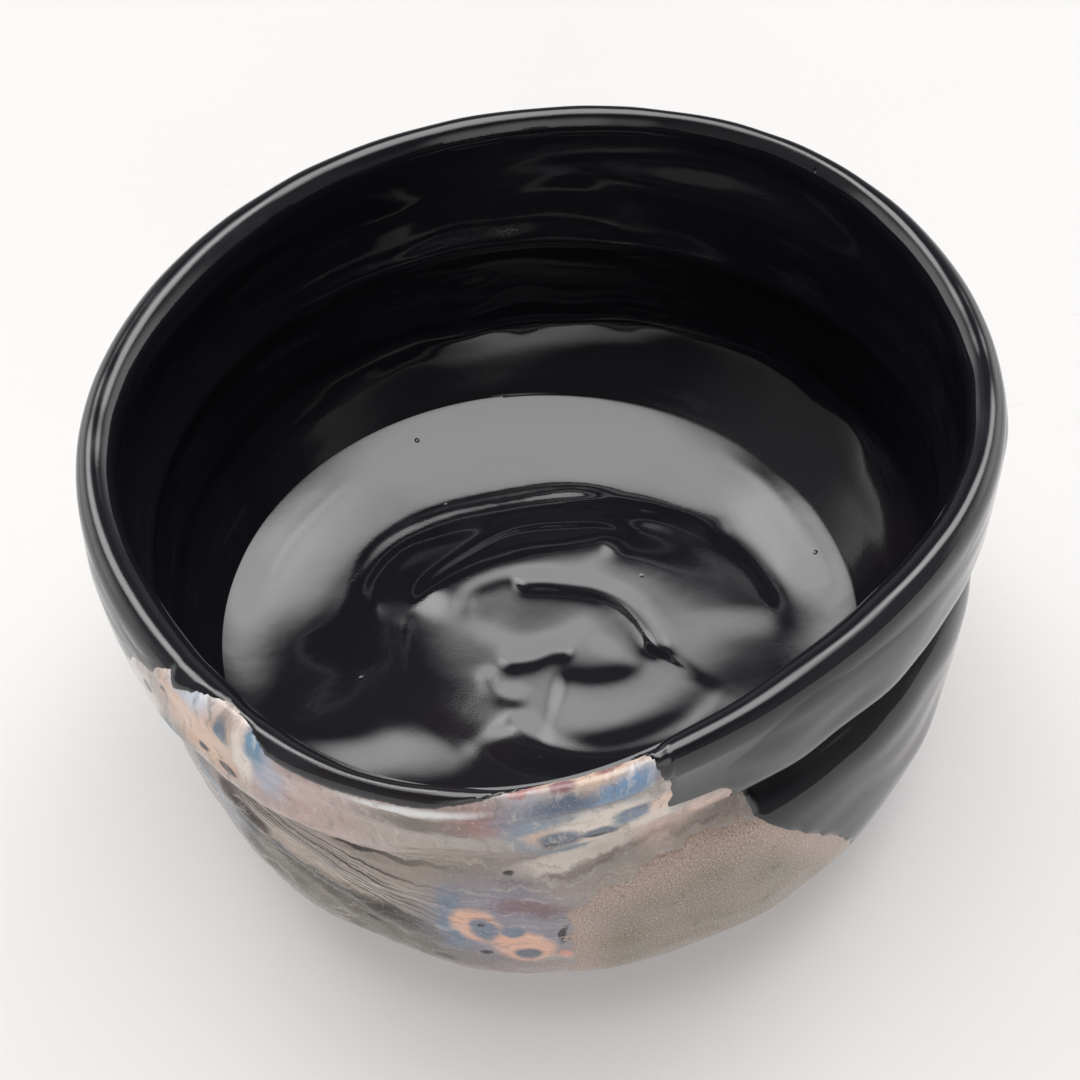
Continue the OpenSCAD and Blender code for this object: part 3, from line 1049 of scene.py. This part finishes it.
@dataclass(frozen=True)
class HandMarks:
    """Relief that the maker's hands left in the outside and in the inner wall."""

    slow: SmoothNoise = SmoothNoise(seed=11, wavelength=30.0)
    dents: SmoothNoise = SmoothNoise(seed=12, wavelength=11.0)
    radius: float = 61.0
    first: float = 150.0
    sunk: float = 0.5
    strokes: tuple[Stroke, ...] = (
        around(((288, 57.5), (300, 57), (315, 56.5), (335, 57.5), (355, 58.5), (375, 59)), -0.9, 2.0, 1.0),
        around(((292, 54.5), (305, 54), (325, 54.5), (350, 55.5), (370, 56)), 0.5, 1.4, 4.0),
        around(((214, 66), (224, 63.5), (234, 61.5), (245, 60), (258, 58.5)), 0.7, 4.0, 1.6),
        around(((212, 60), (222, 58), (232, 57), (243, 56.5), (254, 55.5)), -0.6, 1.6, 1.0),
        around(((226, 57), (234, 54.5), (243, 52.5), (252, 50.5)), -0.35, 0.9, 0.9),
        around(((228, 56), (236, 55.2), (245, 54), (253, 53)), -0.3, 0.8, 0.8),
        around(((225, 54), (233, 50.5), (243, 47), (254, 42.5)), -0.4, 1.0, 1.0),
        around(((226, 50), (234, 46.5), (244, 43.5), (256, 39)), 0.5, 2.2, 2.2),
        around(((224, 47), (233, 43.5), (243, 40.5), (255, 36.5)), -0.4, 1.6, 1.2),
        around(((206, 62), (212, 56), (217, 48), (220, 40)), -0.6, 2.0, 2.0),
    )

    def outside(self, angle: np.ndarray, rise: np.ndarray) -> np.ndarray:
        """Relief of the outside in millimetres.

        Args:
            angle: Angles round the bowl, in degrees.
            rise: Heights up the profile, in millimetres.

        Returns:
            Reliefs in millimetres, below zero where it is pressed in.
        """
        x, y = self.radius * np.cos(np.radians(angle)), self.radius * np.sin(np.radians(angle))
        slow = self.slow.at(x, y, rise)
        rings = 0.05 * np.cos(2 * np.pi * (rise + 1.2 * slow) / 6.5)
        relief = 0.14 * slow + 0.05 * self.dents.at(x, y, rise) + rings - self.sunk
        along = ((angle - self.first) % 360 + self.first) * math.radians(self.radius)
        for stroke in self.strokes:
            relief = relief + stroke.relief(along, rise)
        return relief

    def inside(self, angle: np.ndarray, rise: np.ndarray) -> np.ndarray:
        """Relief of the inner wall in millimetres.

        Args:
            angle: Angles round the bowl, in degrees.
            rise: Heights up the profile, in millimetres.

        Returns:
            Reliefs in millimetres.
        """
        x, y = self.radius * np.cos(np.radians(angle)), self.radius * np.sin(np.radians(angle))
        slow = self.slow.at(x, y, rise)
        rings = 0.07 * np.cos(2 * np.pi * (rise / 7.0 + angle / 360 + 0.15 * slow))
        return 0.08 * slow + 0.02 * self.dents.at(x, y, rise) + rings


@dataclass
class Coat:
    """One coat of glaze: a closed shell that lies on the clay between two rows."""

    form: BowlForm
    edges: WindowEdges = WindowEdges()
    marks: HandMarks = HandMarks()
    name: str = "coat"
    node: str = "node"
    slot: Slot = Slot.BLACK
    start: float = Row.GLAZE_LINE.value
    end: float = Row.LIP.value
    rows: int = 97
    cols: int = 480
    step: int = 4
    ring: bool = True
    capped: bool = False
    depth_below: float = 1.6
    body: str = "root"

    def row_lines(self) -> np.ndarray:
        """Rows of the front sheet, evenly spaced along the profile."""
        rows = np.linspace(self.start, self.end, 800)
        rises = self.form.rise(rows)
        return np.interp(np.linspace(rises[0], rises[-1], self.rows), rises, rows)

    def span(self, rise: np.ndarray) -> tuple[np.ndarray, np.ndarray]:
        """First and last angle of each row."""
        return 0 * rise, 0 * rise + 360 * (1 - 1 / self.cols)

    def thickness(self, angle: np.ndarray, rise: np.ndarray) -> np.ndarray:
        """Thickness of the coat in millimetres."""
        return self.form.glaze_t + self.marks.outside(angle, rise)

    def notes(self, angle: np.ndarray, rise: np.ndarray) -> dict[str, np.ndarray]:
        """Point attributes that the finish reads."""
        return {"angle": angle, "rise": rise}

    def build(self, finish: bpy.types.Material) -> bpy.types.Object:
        """Makes the coat, dresses it and sets it in the frame.

        Args:
            finish: Material of the coat.

        Returns:
            The finished piece.
        """
        lines = self.row_lines()
        row = np.repeat(lines[:, None], self.cols, axis=1)
        rise = self.form.rise(row)
        first, last = self.span(rise[:, :1])
        angle = mix(first, last, np.linspace(0.0, 1.0, self.cols)[None])
        clay = self.form.clay(angle, row)
        normal = self.form.normal(angle, row)
        top = self.thickness(angle, rise)[..., None]
        front = clay + normal * top
        back = clay + normal * (top - self.depth_below)
        shell = Shell(self.name, front, back, self.ring, self.step, self.capped)
        piece = shell.build(self.form.scale, self.notes(angle, rise))
        return dress(piece, finish, self.node, self.body)


def dress(piece: bpy.types.Object, finish: bpy.types.Material, node: str,
          body: str = "root") -> bpy.types.Object:
    """Gives a piece its finish and its place in the frame.

    Args:
        piece: The piece.
        finish: Its material.
        node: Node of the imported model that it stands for.
        body: Body that it moves with.

    Returns:
        The same piece.
    """
    piece.data.materials.append(finish)
    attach(piece, body)
    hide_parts(node)
    LOG.info("%s: %d faces", piece.name, len(piece.data.polygons))
    return piece


@dataclass
class OuterGlaze(Coat):
    """Black coat on the outside, round the side away from the window."""

    name: str = "outer_glaze_black"
    node: str = "outer_black_glaze"
    end: float = Row.LIP.value + 1.6
    rows: int = 141
    cols: int = 441
    ring: bool = False
    margin: float = 3.0
    over: float = 0.16
    fray: SmoothNoise = SmoothNoise(seed=21, wavelength=3.2)

    def span(self, rise: np.ndarray) -> tuple[np.ndarray, np.ndarray]:
        """First and last angle of each row."""
        return self.edges.right_at(rise) - self.margin, self.edges.left_at(rise) + 360 + self.margin

    def thickness(self, angle: np.ndarray, rise: np.ndarray) -> np.ndarray:
        """Thickness of the coat, which sinks below the window's glaze at its edges.

        Args:
            angle: Angles round the bowl, in degrees.
            rise: Heights up the profile, in millimetres.

        Returns:
            Thicknesses in millimetres.
        """
        right = self.edges.to_mm(angle - self.edges.right_at(rise))
        left = self.edges.to_mm(self.edges.left_at(rise) + 360 - angle)
        frayed = 0.25 * self.fray.at(self.edges.to_mm(angle), rise)
        cover = ease((np.minimum(right, left) + frayed) / 2.2 + 0.5)
        top = ease((self.form.rise(np.array(Row.LIP.value)) + 1.5 - rise) / 3.0)
        sunk = mix(-0.5, self.over, cover * mix(0.45, 1.0, top))
        return super().thickness(angle, rise) + sunk


@dataclass
class LipGlaze(Coat):
    """Black coat that rolls over the lip and stops where the window's glaze runs up."""

    name: str = "lip_glaze_black"
    node: str = "lip_black_glaze"
    start: float = Row.LIP.value - 1.7
    end: float = Row.MOUTH.value + 1.0
    rows: int = 61
    cols: int = 960
    over: float = 0.06
    over_window: float = 0.14
    window_start: float = 222.0
    window_end: float = 283.0
    seam: float = 76.5
    fray: SmoothNoise = SmoothNoise(seed=31, wavelength=1.5)
    bead: SmoothNoise = SmoothNoise(seed=32, wavelength=15.0)

    def thickness(self, angle: np.ndarray, rise: np.ndarray) -> np.ndarray:
        """Thickness of the coat, which sinks below its neighbours at its edges.

        Args:
            angle: Angles round the bowl, in degrees.
            rise: Heights up the profile, in millimetres.

        Returns:
            Thicknesses in millimetres.
        """
        x = self.edges.to_mm(angle)
        window = ease((angle - self.window_start) / 3) * ease((self.window_end - angle) / 2)
        low = mix(self.seam, self.edges.lip_low_at(angle), window)
        frayed = 0.07 * self.fray.at(x, rise) * window
        soft = mix(5.0, 1.1, window)
        up = ease((rise - low + frayed) / soft + 0.5 * window)
        inner = self.form.rise(np.array(Row.MOUTH.value + 0.4))
        cover = up * ease((inner - rise) / 2.5)
        turn, radius = np.radians(angle), self.marks.radius
        bead = 0.05 * self.bead.at(radius * np.cos(turn), radius * np.sin(turn))
        full = self.over + self.over_window * window + bead
        return self.form.glaze_t + self.marks.outside(angle, rise) * window + mix(-0.5, full, cover)


@dataclass(frozen=True)
class FloorMarks:
    """Relief of the glaze on the floor: a whisk spiral, swells and a raised outer rim."""

    waves: SmoothNoise = SmoothNoise(seed=41, wavelength=24.0)
    rim_start: float = 31.0
    rim_end: float = 49.0
    rim_rise: float = 0.9
    lean: float = 0.08
    lean_x: float = 4.0
    lean_y: float = -3.0
    lean_aspect: float = 1.15
    lean_inner: float = 15.0
    lean_outer: float = 25.0
    strokes: tuple[Stroke, ...] = (
        Stroke(((-33, -6), (-33, 5), (-28, 16), (-18, 24), (-5, 27), (9, 27.5), (21, 23), (31, 15), (37, 4),
                (38, -6)), -0.5, 6.0, 5.0),
        Stroke(((-21, 5), (-17, 10.5), (-11.5, 15), (-5, 19), (2, 20), (10, 19), (15, 16)), 0.7, 1.6, 7.0),
        Stroke(((3, 23.5), (12, 23.5), (20, 20.5), (27, 16), (32, 10), (34.5, 3), (34, -5)), 0.55, 2.0, 9.0),
        Stroke(((-13, 2.5), (-12, 7.5), (-8.2, 9.8), (-3.5, 10.6), (4.5, 9.5)), -0.25, 0.9, 1.4),
        Stroke(((-5, 8.8), (0, 9.2), (8, 7.6), (13.5, 4), (17, -2), (17.9, -6.5)), -0.5, 1.3, 1.9, 0.1),
        Stroke(((-12.5, 4), (-8.5, 1.5), (-4, -1.0), (1, -0.5), (6.5, 2.0), (9, -1.5), (13, -5), (18, -8)),
               0.3, 6.0, 2.0),
        Stroke(((-8, -5.5), (-2.5, -5), (1.5, -3.5), (4, -5)), -0.45, 1.0, 1.8),
        Stroke(((-9.5, -6.5), (-8, -11), (-3, -12.5)), -0.35, 1.2, 1.6),
        Stroke(((0, -10), (7, -11.5), (14, -10), (19, -5)), 0.6, 3.0, 8.0),
        Stroke(((-7, -15), (-4.5, -17.5), (0, -21.5), (7, -24), (14.5, -23), (22, -19.5), (29, -12)),
               -0.6, 1.6, 8.0),
        Stroke(((-30, -45), (0, -46), (30, -45)), 2.5, 18.0, 18.0, 0.3),
        Stroke(((15.5, 22.5), (24, 20.5), (31, 17.5)), 0.18, 2.0, 2.0),
        Stroke(((-25, 4), (-27, 11), (-23, 18), (-16.5, 21), (-8, 23)), 0.2, 0.9, 0.9),
        Stroke(((-31, 11), (-26, 20), (-17, 25.5), (-6, 28), (6, 29), (15, 26)), 0.16, 0.8, 0.8),
        Stroke(((-23, 5), (-22.5, -5), (-22, -16)), -0.2, 0.5, 0.5),
        Stroke(((-52, -14), (-40, -17), (-30, -19), (-23, -17.5), (-13, -20), (-4, -26)),
               1.4, 14.0, 6.0, 0.42),
        Stroke(((-45, 10), (-40, 21), (-30, 34)), -0.12, 0.6, 0.6),
        Stroke(((30, 34), (38, 25), (44, 10), (45, 0)), -0.12, 0.6, 0.6),
    )

    def raw(self, x: np.ndarray, y: np.ndarray) -> np.ndarray:
        """Relief in millimetres at points x, y, before it is smoothed.

        Args:
            x: Millimetres along +X.
            y: Millimetres along +Y.

        Returns:
            Reliefs in millimetres.
        """
        share = np.clip((np.hypot(x, y) - self.rim_start) / (self.rim_end - self.rim_start), 0, 1.3)
        off = np.hypot((x - self.lean_x) / self.lean_aspect, y - self.lean_y)
        inside = ease((self.lean_outer - off) / (self.lean_outer - self.lean_inner))
        relief = self.rim_rise * share**2 + 0.05 * self.waves.at(x, y)
        relief = relief + self.lean * (y - self.lean_y) * inside
        for stroke in self.strokes:
            relief = relief + stroke.relief(x, y)
        return relief

    def at(self, x: np.ndarray, y: np.ndarray) -> np.ndarray:
        """Relief in millimetres at points x, y, as melted glaze smooths it.

        Args:
            x: Millimetres along +X.
            y: Millimetres along +Y.

        Returns:
            Reliefs in millimetres.
        """
        edge, cells, melt = 60.0, 480, 16
        line = np.linspace(-edge, edge, cells + 1)
        relief = self.raw(*np.meshgrid(line, line, indexing="ij"))
        for _ in range(melt):
            for axis in (0, 1):
                relief = (np.roll(relief, 1, axis) + 2 * relief + np.roll(relief, -1, axis)) / 4
        u = np.clip((x + edge) / (2 * edge) * cells, 0, cells - 1.001)
        v = np.clip((y + edge) / (2 * edge) * cells, 0, cells - 1.001)
        i, j = u.astype(int), v.astype(int)
        near = mix(relief[i, j], relief[i, j + 1], v - j)
        far = mix(relief[i + 1, j], relief[i + 1, j + 1], v - j)
        return mix(near, far, u - i)


@dataclass
class InnerGlaze(Coat):
    """Black coat on the inner wall and on the floor with its spiral."""

    name: str = "inner_glaze_black"
    node: str = "inner_black_glaze"
    start: float = Row.MOUTH.value - 1.5
    end: float = Row.CENTRE.value - 0.08
    rows: int = 261
    cols: int = 560
    capped: bool = True
    floor_marks: FloorMarks = FloorMarks()

    def thickness(self, angle: np.ndarray, rise: np.ndarray) -> np.ndarray:
        """Thickness of the coat, with throwing rings on the wall and strokes in the floor.

        Args:
            angle: Angles round the bowl, in degrees.
            rise: Heights up the profile, in millimetres.

        Returns:
            Thicknesses in millimetres.
        """
        row = np.interp(rise, self.table[1], self.table[0])
        r, _ = self.form.profile(angle, row)
        x, y = r * np.cos(np.radians(angle)), r * np.sin(np.radians(angle))
        on_floor = ease((row - Row.CORNER.value) / 4.0)
        below_lip = ease((row - Row.MOUTH.value) / 2.0)
        floor = self.floor_marks.at(x, y)
        wall = self.marks.inside(angle, rise)
        return self.form.glaze_t + mix(wall * below_lip, floor, on_floor)

    @property
    def table(self) -> tuple[np.ndarray, np.ndarray]:
        """Rows of the inside and their heights up the profile."""
        rows = np.linspace(self.start, self.end, 600)
        return rows, self.form.rise(rows)


@dataclass
class MarbledWindow(Coat):
    """Marbled coat in the window, which also runs up over the lip as a tongue."""

    name: str = "window_glaze_marbled"
    node: str = "window_marbled_glaze"
    slot: Slot = Slot.MARBLED
    end: float = Row.LIP.value + 5.0
    rows: int = 141
    cols: int = 321
    ring: bool = False
    margin: float = 3.0
    lumps: SmoothNoise = SmoothNoise(seed=51, wavelength=5.0)

    def span(self, rise: np.ndarray) -> tuple[np.ndarray, np.ndarray]:
        """First and last angle of each row."""
        return self.edges.left_at(rise) - self.margin, self.edges.right_at(rise) + self.margin

    def thickness(self, angle: np.ndarray, rise: np.ndarray) -> np.ndarray:
        """Thickness of the coat, with slight lumps where glazes pool.

        Args:
            angle: Angles round the bowl, in degrees.
            rise: Heights up the profile, in millimetres.

        Returns:
            Thicknesses in millimetres.
        """
        left = self.edges.to_mm(angle - self.edges.left_at(rise))
        right = self.edges.to_mm(self.edges.right_at(rise) - angle)
        inside = ease(np.minimum(left, right) / 3.0 + 1.0)
        lumps = 0.05 * self.lumps.at(self.edges.to_mm(angle), rise)
        return super().thickness(angle, rise) + lumps * inside + mix(-0.3, 0.0, inside)


@dataclass
class TaupeWindow(Coat):
    """Taupe coat that lies over the marbled one in the window's lower right."""

    name: str = "window_glaze_taupe"
    node: str = "window_taupe_glaze"
    slot: Slot = Slot.TAUPE
    end: float = Row.LIP.value - 2.0
    rows: int = 101
    cols: int = 201
    ring: bool = False
    over: float = 0.14
    margin: float = 3.0
    first: float = 266.0
    bleed: float = 4.5
    fray: SmoothNoise = SmoothNoise(seed=61, wavelength=4.0)

    def span(self, rise: np.ndarray) -> tuple[np.ndarray, np.ndarray]:
        """First and last angle of each row."""
        return 0 * rise + self.first, self.edges.right_at(rise) + self.margin

    def depth(self, angle: np.ndarray, rise: np.ndarray) -> np.ndarray:
        """Distance inside the coat's left and upper edges in millimetres."""
        left = self.edges.to_mm(angle - self.first - self.bleed)
        return np.minimum(left, self.edges.taupe_top_at(angle) - rise)

    def thickness(self, angle: np.ndarray, rise: np.ndarray) -> np.ndarray:
        """Thickness of the coat, which sinks below the marbled glaze at its edges.

        Args:
            angle: Angles round the bowl, in degrees.
            rise: Heights up the profile, in millimetres.

        Returns:
            Thicknesses in millimetres.
        """
        frayed = 0.5 * self.fray.at(self.edges.to_mm(angle), rise)
        right = ease(self.edges.to_mm(self.edges.right_at(rise) - angle) / 2.0 + 1.0)
        cover = ease((self.depth(angle, rise) + frayed) / 2.0 + 0.5) * right
        return super().thickness(angle, rise) + mix(-0.5, self.over, cover)

    def notes(self, angle: np.ndarray, rise: np.ndarray) -> dict[str, np.ndarray]:
        """Point attributes that the finish reads.

        Args:
            angle: Angles round the bowl, in degrees.
            rise: Heights up the profile, in millimetres.

        Returns:
            Values by the name of their attribute.
        """
        right = self.edges.to_mm(self.edges.right_at(rise) - angle)
        edge = np.minimum(self.depth(angle, rise), right)
        return {"angle": angle, "rise": rise, "edge": edge}


@dataclass
class ClayBody:
    """Thrown body of the bowl, bare between the foot ring and the glaze line."""

    form: BowlForm
    rows: int = 130
    cols: int = 240
    bare_rows: int = 60
    sunk: float = 0.9
    tooth: SmoothNoise = SmoothNoise(seed=71, wavelength=2.4)

    def build(self, finish: bpy.types.Material) -> bpy.types.Object:
        """Makes the body.

        Args:
            finish: Material of the body.

        Returns:
            The finished piece.
        """
        angle = np.linspace(0.0, 360.0, self.cols, endpoint=False)[None]
        turn = np.radians(angle)
        reach = np.linspace(0.01, 1.0, self.bare_rows)[:-1, None] * self.form.bare_r
        x, y = reach * np.cos(turn), reach * np.sin(turn)
        trimmed = 0.10 * np.cos(2 * np.pi * (reach / 2.6 + angle / 360))
        fade = ease((self.form.bare_r - reach) / 3.0)
        rough = trimmed + 0.05 * self.tooth.at(x, y)
        bare = np.stack([x, y, self.form.foot_h + rough * fade], axis=-1)
        row = np.linspace(Row.GLAZE_LINE.value, Row.CENTRE.value - 0.1, self.rows)[:, None]
        sunk = self.sunk * ease((row - Row.GLAZE_LINE.value) / 2.0)
        angles, rows = angle + 0 * row, row + 0 * angle
        covered = self.form.clay(angles, rows) - self.form.normal(angles, rows) * sunk[..., None]
        grid = np.concatenate([bare, covered])
        piece = Ring("clay_bowl", grid, closed=False).build(self.form.scale)
        return dress(piece, finish, "clay_body")


@dataclass
class Ring:
    """Closed solid swept round the bowl's axis.

    Attributes:
        name: Name of the piece.
        grid: Points in millimetres, rows by columns by 3.
        closed: Whether the last row joins the first; if not, both ends are capped.
    """

    name: str
    grid: np.ndarray
    closed: bool = True

    def build(self, scale: float) -> bpy.types.Object:
        """Makes the mesh object.

        Args:
            scale: Metres for one unit of the points.

        Returns:
            The new object, linked to the scene and shaded smooth.
        """
        rows, cols = self.grid.shape[:2]
        ids = np.arange(rows * cols).reshape(rows, cols)
        wrapped = np.hstack([ids, ids[:, :1]])
        if self.closed:
            wrapped = np.vstack([wrapped, wrapped[:1]])
        faces = Shell.quads(wrapped)
        if not self.closed:
            faces += [tuple(ids[0][::-1].tolist()), tuple(ids[-1].tolist())]
        mesh = bpy.data.meshes.new(self.name)
        mesh.from_pydata((self.grid.reshape(-1, 3) * scale).tolist(), [], faces)
        mesh.polygons.foreach_set("use_smooth", [True] * len(mesh.polygons))
        mesh.set_sharp_from_angle(angle=math.radians(50))
        mesh.update()
        made = bpy.data.objects.new(self.name, mesh)
        bpy.context.scene.collection.objects.link(made)
        return made


@dataclass
class Foot:
    """Foot ring and the seam of slip that joins it to the body."""

    form: BowlForm
    outer_r: float = 29.0
    wall: float = 6.5
    lean: float = 0.8
    bevel: float = 0.8
    slip: float = 2.2
    cols: int = 320
    tooth: SmoothNoise = SmoothNoise(seed=81, wavelength=2.2)
    chatter: SmoothNoise = SmoothNoise(seed=82, wavelength=9.0)

    def outline(self, corners: Sequence[tuple[float, float]], gap: float = 0.4) -> np.ndarray:
        """Closed outline with its corners rounded and points about gap millimetres apart.

        Args:
            corners: Corners as radius and height, in order.
            gap: Distance between points, in millimetres.

        Returns:
            Points, one row for each.
        """
        p = np.array(corners, float)
        q = np.roll(p, -1, axis=0)
        points = []
        for a, b in zip(p, q):
            count = max(2, int(np.linalg.norm(b - a) / gap))
            points.append(mix(a, b, np.linspace(0, 1, count, endpoint=False)[:, None]))
        line = np.vstack(points)
        for _ in range(2):
            line = (np.roll(line, 1, axis=0) + 2 * line + np.roll(line, -1, axis=0)) / 4
        return line

    def sweep(self, name: str, corners: Sequence[tuple[float, float]], rough: float) -> bpy.types.Object:
        """Sweeps an outline round the axis and roughens it where it is free.

        Args:
            name: Name of the piece.
            corners: Corners of the outline as radius and height, in order.
            rough: Height of the roughness in millimetres.

        Returns:
            The new object.
        """
        line = self.outline(corners)
        turn = np.linspace(0, 2 * np.pi, self.cols, endpoint=False)[None]
        r, z = line[:, :1], line[:, 1:]
        along = r * turn
        bite = rough * (self.tooth.at(along, z * 3 + r) + self.chatter.at(along, z))
        free = ease(z / 1.2) * ease((self.form.foot_h - z) / 0.6)
        middle = np.mean(line[:, 0])
        out = np.sign(r - middle) * bite * free
        radius = r + np.minimum(out * np.sign(r - middle), 0.0) * np.sign(r - middle)
        grid = np.stack([radius * np.cos(turn), radius * np.sin(turn), z + 0 * turn], axis=-1)
        return Ring(name, grid).build(self.form.scale)

    def build(self, clay: bpy.types.Material, slip: bpy.types.Material) -> list[bpy.types.Object]:
        """Makes the foot ring and the seam.

        Args:
            clay: Material of the ring.
            slip: Material of the seam.

        Returns:
            The two pieces.
        """
        top, bevel = self.form.foot_h, self.bevel
        low_out, low_in = self.outer_r - self.lean, self.outer_r - self.wall + self.lean
        ring = self.sweep("foot_ring_turned", (
            (self.outer_r, top), (self.outer_r - self.wall, top), (low_in, bevel),
            (low_in + bevel, 0), (low_out - bevel, 0), (low_out, bevel)), 0.08)
        root = self.outer_r - self.lean * self.slip / top
        hollow = [(self.outer_r + self.slip * (1 - math.sin(t)), top - self.slip * (1 - math.cos(t)))
                  for t in np.linspace(0, math.pi / 2, 7)]
        seam = self.sweep("foot_slip_seam_soft", [(self.outer_r - 0.3, top)] + hollow[:-1]
                          + [(root - 0.3, top - self.slip)], 0.05)
        return [dress(ring, clay, "foot_ring"),
                dress(seam, slip, "foot_slip_seam")]


@dataclass(frozen=True)
class Glow:
    """Soft patch of light in the surroundings.

    Attributes:
        up: Height of its middle above the horizon in degrees.
        turn: Direction of its middle in degrees, 90 being behind the bowl.
        inner: Angle from its middle out to which it is fully bright, in degrees.
        outer: Angle from its middle at which it ends, in degrees.
        strength: Brightness, with 1 for white paper in full light.
    """

    up: float
    turn: float
    inner: float
    outer: float
    strength: float

    def direction(self) -> tuple[float, float, float]:
        """Unit vector towards its middle."""
        up, turn = math.radians(self.up), math.radians(self.turn)
        return (math.cos(up) * math.cos(turn), math.cos(up) * math.sin(turn), math.sin(up))


@dataclass
class Studio:
    """Pale table, soft overhead light and the camera, placed as shares of the bowl's size."""

    low: Vector
    high: Vector
    aim: float = 0.4987
    distance: float = 1.996
    dip: float = 49.61
    roll: float = -3.53
    lens: float = 56.67
    table: float = 90.0
    glows: tuple[Glow, ...] = (
        Glow(84, 90, 14, 36, 4.8), Glow(50, 50, 6, 20, 5.0), Glow(50, 130, 6, 20, 5.0),
        Glow(44, 90, 10, 24, -0.16), Glow(5, 30, 12, 38, 1.4), Glow(5, 150, 12, 38, 1.4),
        Glow(50, 270, 28, 54, -0.17), Glow(16, 270, 8, 34, 1.4))
    air: float = 0.22
    # Strength of the table's own faint glow: painted fill light that lightens the shadows on it.
    table_fill_glow: float = 0.29

    @property
    def width(self) -> float:
        """Width of the bowl in metres."""
        return self.high.x - self.low.x

    def target(self) -> Vector:
        """Point that the camera looks at."""
        return Vector((0.0007 * self.width, 0.0, self.low.z + self.aim * (self.high.z - self.low.z)))

    def camera(self) -> bpy.types.Object:
        """Sets up the camera at the fitted angle."""
        dip, roll = math.radians(self.dip), math.radians(self.roll)
        back = Vector((0.0, -math.cos(dip), math.sin(dip)))
        right, up = Vector((1.0, 0.0, 0.0)), Vector((0.0, math.sin(dip), math.cos(dip)))
        across = right * math.cos(roll) + up * math.sin(roll)
        above = up * math.cos(roll) - right * math.sin(roll)
        data = bpy.data.cameras.new("camera")
        data.lens = self.lens
        data.sensor_width = 36.0
        data.clip_start = 0.01
        made = bpy.data.objects.new("camera", data)
        bpy.context.scene.collection.objects.link(made)
        turn = Matrix((across, above, back)).transposed().to_4x4()
        turn.translation = self.target() + back * self.distance * self.width
        made.matrix_world = turn
        bpy.context.scene.camera = made
        return made

    def floor(self) -> bpy.types.Object:
        """Makes the pale table, which glows faintly to lighten the shadows on it."""
        half = self.table * self.width
        mesh = bpy.data.meshes.new("table_top")
        corners = [(-half, -half), (half, -half), (half, half), (-half, half)]
        mesh.from_pydata([(x, y, self.low.z) for x, y in corners], [], [(0, 1, 2, 3)])
        made = bpy.data.objects.new("table_top", mesh)
        bpy.context.scene.collection.objects.link(made)
        book = Nodes("table_paint")
        place = book.position()
        cloud = book.noise(place, 6.0, detail=3.0, seed=1.0).outputs["Fac"]
        colour = book.blend(book.range(cloud, 0.3, 0.7), paint(174, 174, 173), paint(171, 171, 170))
        stretched = book.add("Mapping", {"Vector": place, "Rotation": (0, 0, 0.5),
                                         "Scale": (1.0, 14.0, 1.0)}).outputs[0]
        scratch = book.noise(stretched, 16.0, detail=2.0, seed=3.0).outputs["Fac"]
        line = book.math("ABSOLUTE", book.math("SUBTRACT", scratch, 0.5))
        patch = book.range(book.noise(place, 9.0, seed=5.0).outputs["Fac"], 0.52, 0.62)
        mark = book.math("MULTIPLY", book.range(line, 0.004, 0.0), patch)
        colour = book.blend(book.math("MULTIPLY", mark, 0.25), colour, paint(150, 150, 153))
        grain = book.noise(place, 900.0, detail=2.0, seed=8.0).outputs["Fac"]
        book.put(book.shader.inputs["Base Color"], colour)
        book.shader.inputs["Roughness"].default_value = 0.62
        # Painted fill light: the table glows faintly, a little pink, so the shadows on it come out lighter.
        book.shader.inputs["Emission Color"].default_value = paint(252, 248, 248)
        book.shader.inputs["Emission Strength"].default_value = self.table_fill_glow
        book.put(book.shader.inputs["Normal"], book.bump(grain, 0.00003))
        mesh.materials.append(book.material)
        made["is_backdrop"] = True
        return made

    def sky(self) -> bpy.types.World:
        """Surrounds the table with dim air and soft glows, as large diffusers give them."""
        world = bpy.data.worlds.new("room")
        world.use_nodes = True
        tree = world.node_tree
        tree.nodes.clear()
        book = Nodes.on_tree(tree)
        output = tree.nodes.new("ShaderNodeOutputWorld")
        way = book.add("TexCoord").outputs["Generated"]
        total: object = self.air
        for glow in self.glows:
            dot = book.add("VectorMath", {0: way, 1: glow.direction()}, operation="DOT_PRODUCT")
            angle = book.math("ARCCOSINE", dot.outputs["Value"])
            near, far = math.radians(glow.inner), math.radians(glow.outer)
            total = book.math("ADD", total, book.range(angle, far, near, 0.0, glow.strength))
        sky = book.add("Background", {"Color": (1.0, 0.99, 0.985, 1.0), "Strength": total})
        tree.links.new(sky.outputs[0], output.inputs["Surface"])
        return world

    def build(self) -> None:
        """Sets up camera, table and light."""
        self.camera()
        self.floor()
        scene = bpy.context.scene
        scene.world = self.sky()
        scene.view_settings.view_transform = "Standard"
        scene.view_settings.look = "None"


def corners() -> list[list[float]]:
    """Lowest and highest corner of the shown object as plain lists."""
    return [list(corner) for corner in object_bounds()]


def main() -> None:
    """Builds the bowl piece by piece, and then the studio round it."""
    logging.basicConfig(level=logging.INFO, format="%(message)s")
    low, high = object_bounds()
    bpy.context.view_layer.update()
    form = BowlForm.from_frame()
    black = BlackGlaze().material()
    stoneware = Stoneware().material()
    slip = Stoneware(body=paint(150, 120, 96), toast=paint(120, 88, 66), name="joining_slip").material()
    ClayBody(form).build(stoneware)
    Foot(form).build(stoneware, slip)
    InnerGlaze(form).build(black)
    OuterGlaze(form).build(black)
    LipGlaze(form).build(black)
    MarbledWindow(form).build(MarbledGlaze().material())
    TaupeWindow(form).build(TaupeGlaze().material())
    Studio(low, high).build()


if __name__ == "__main__":
    main()
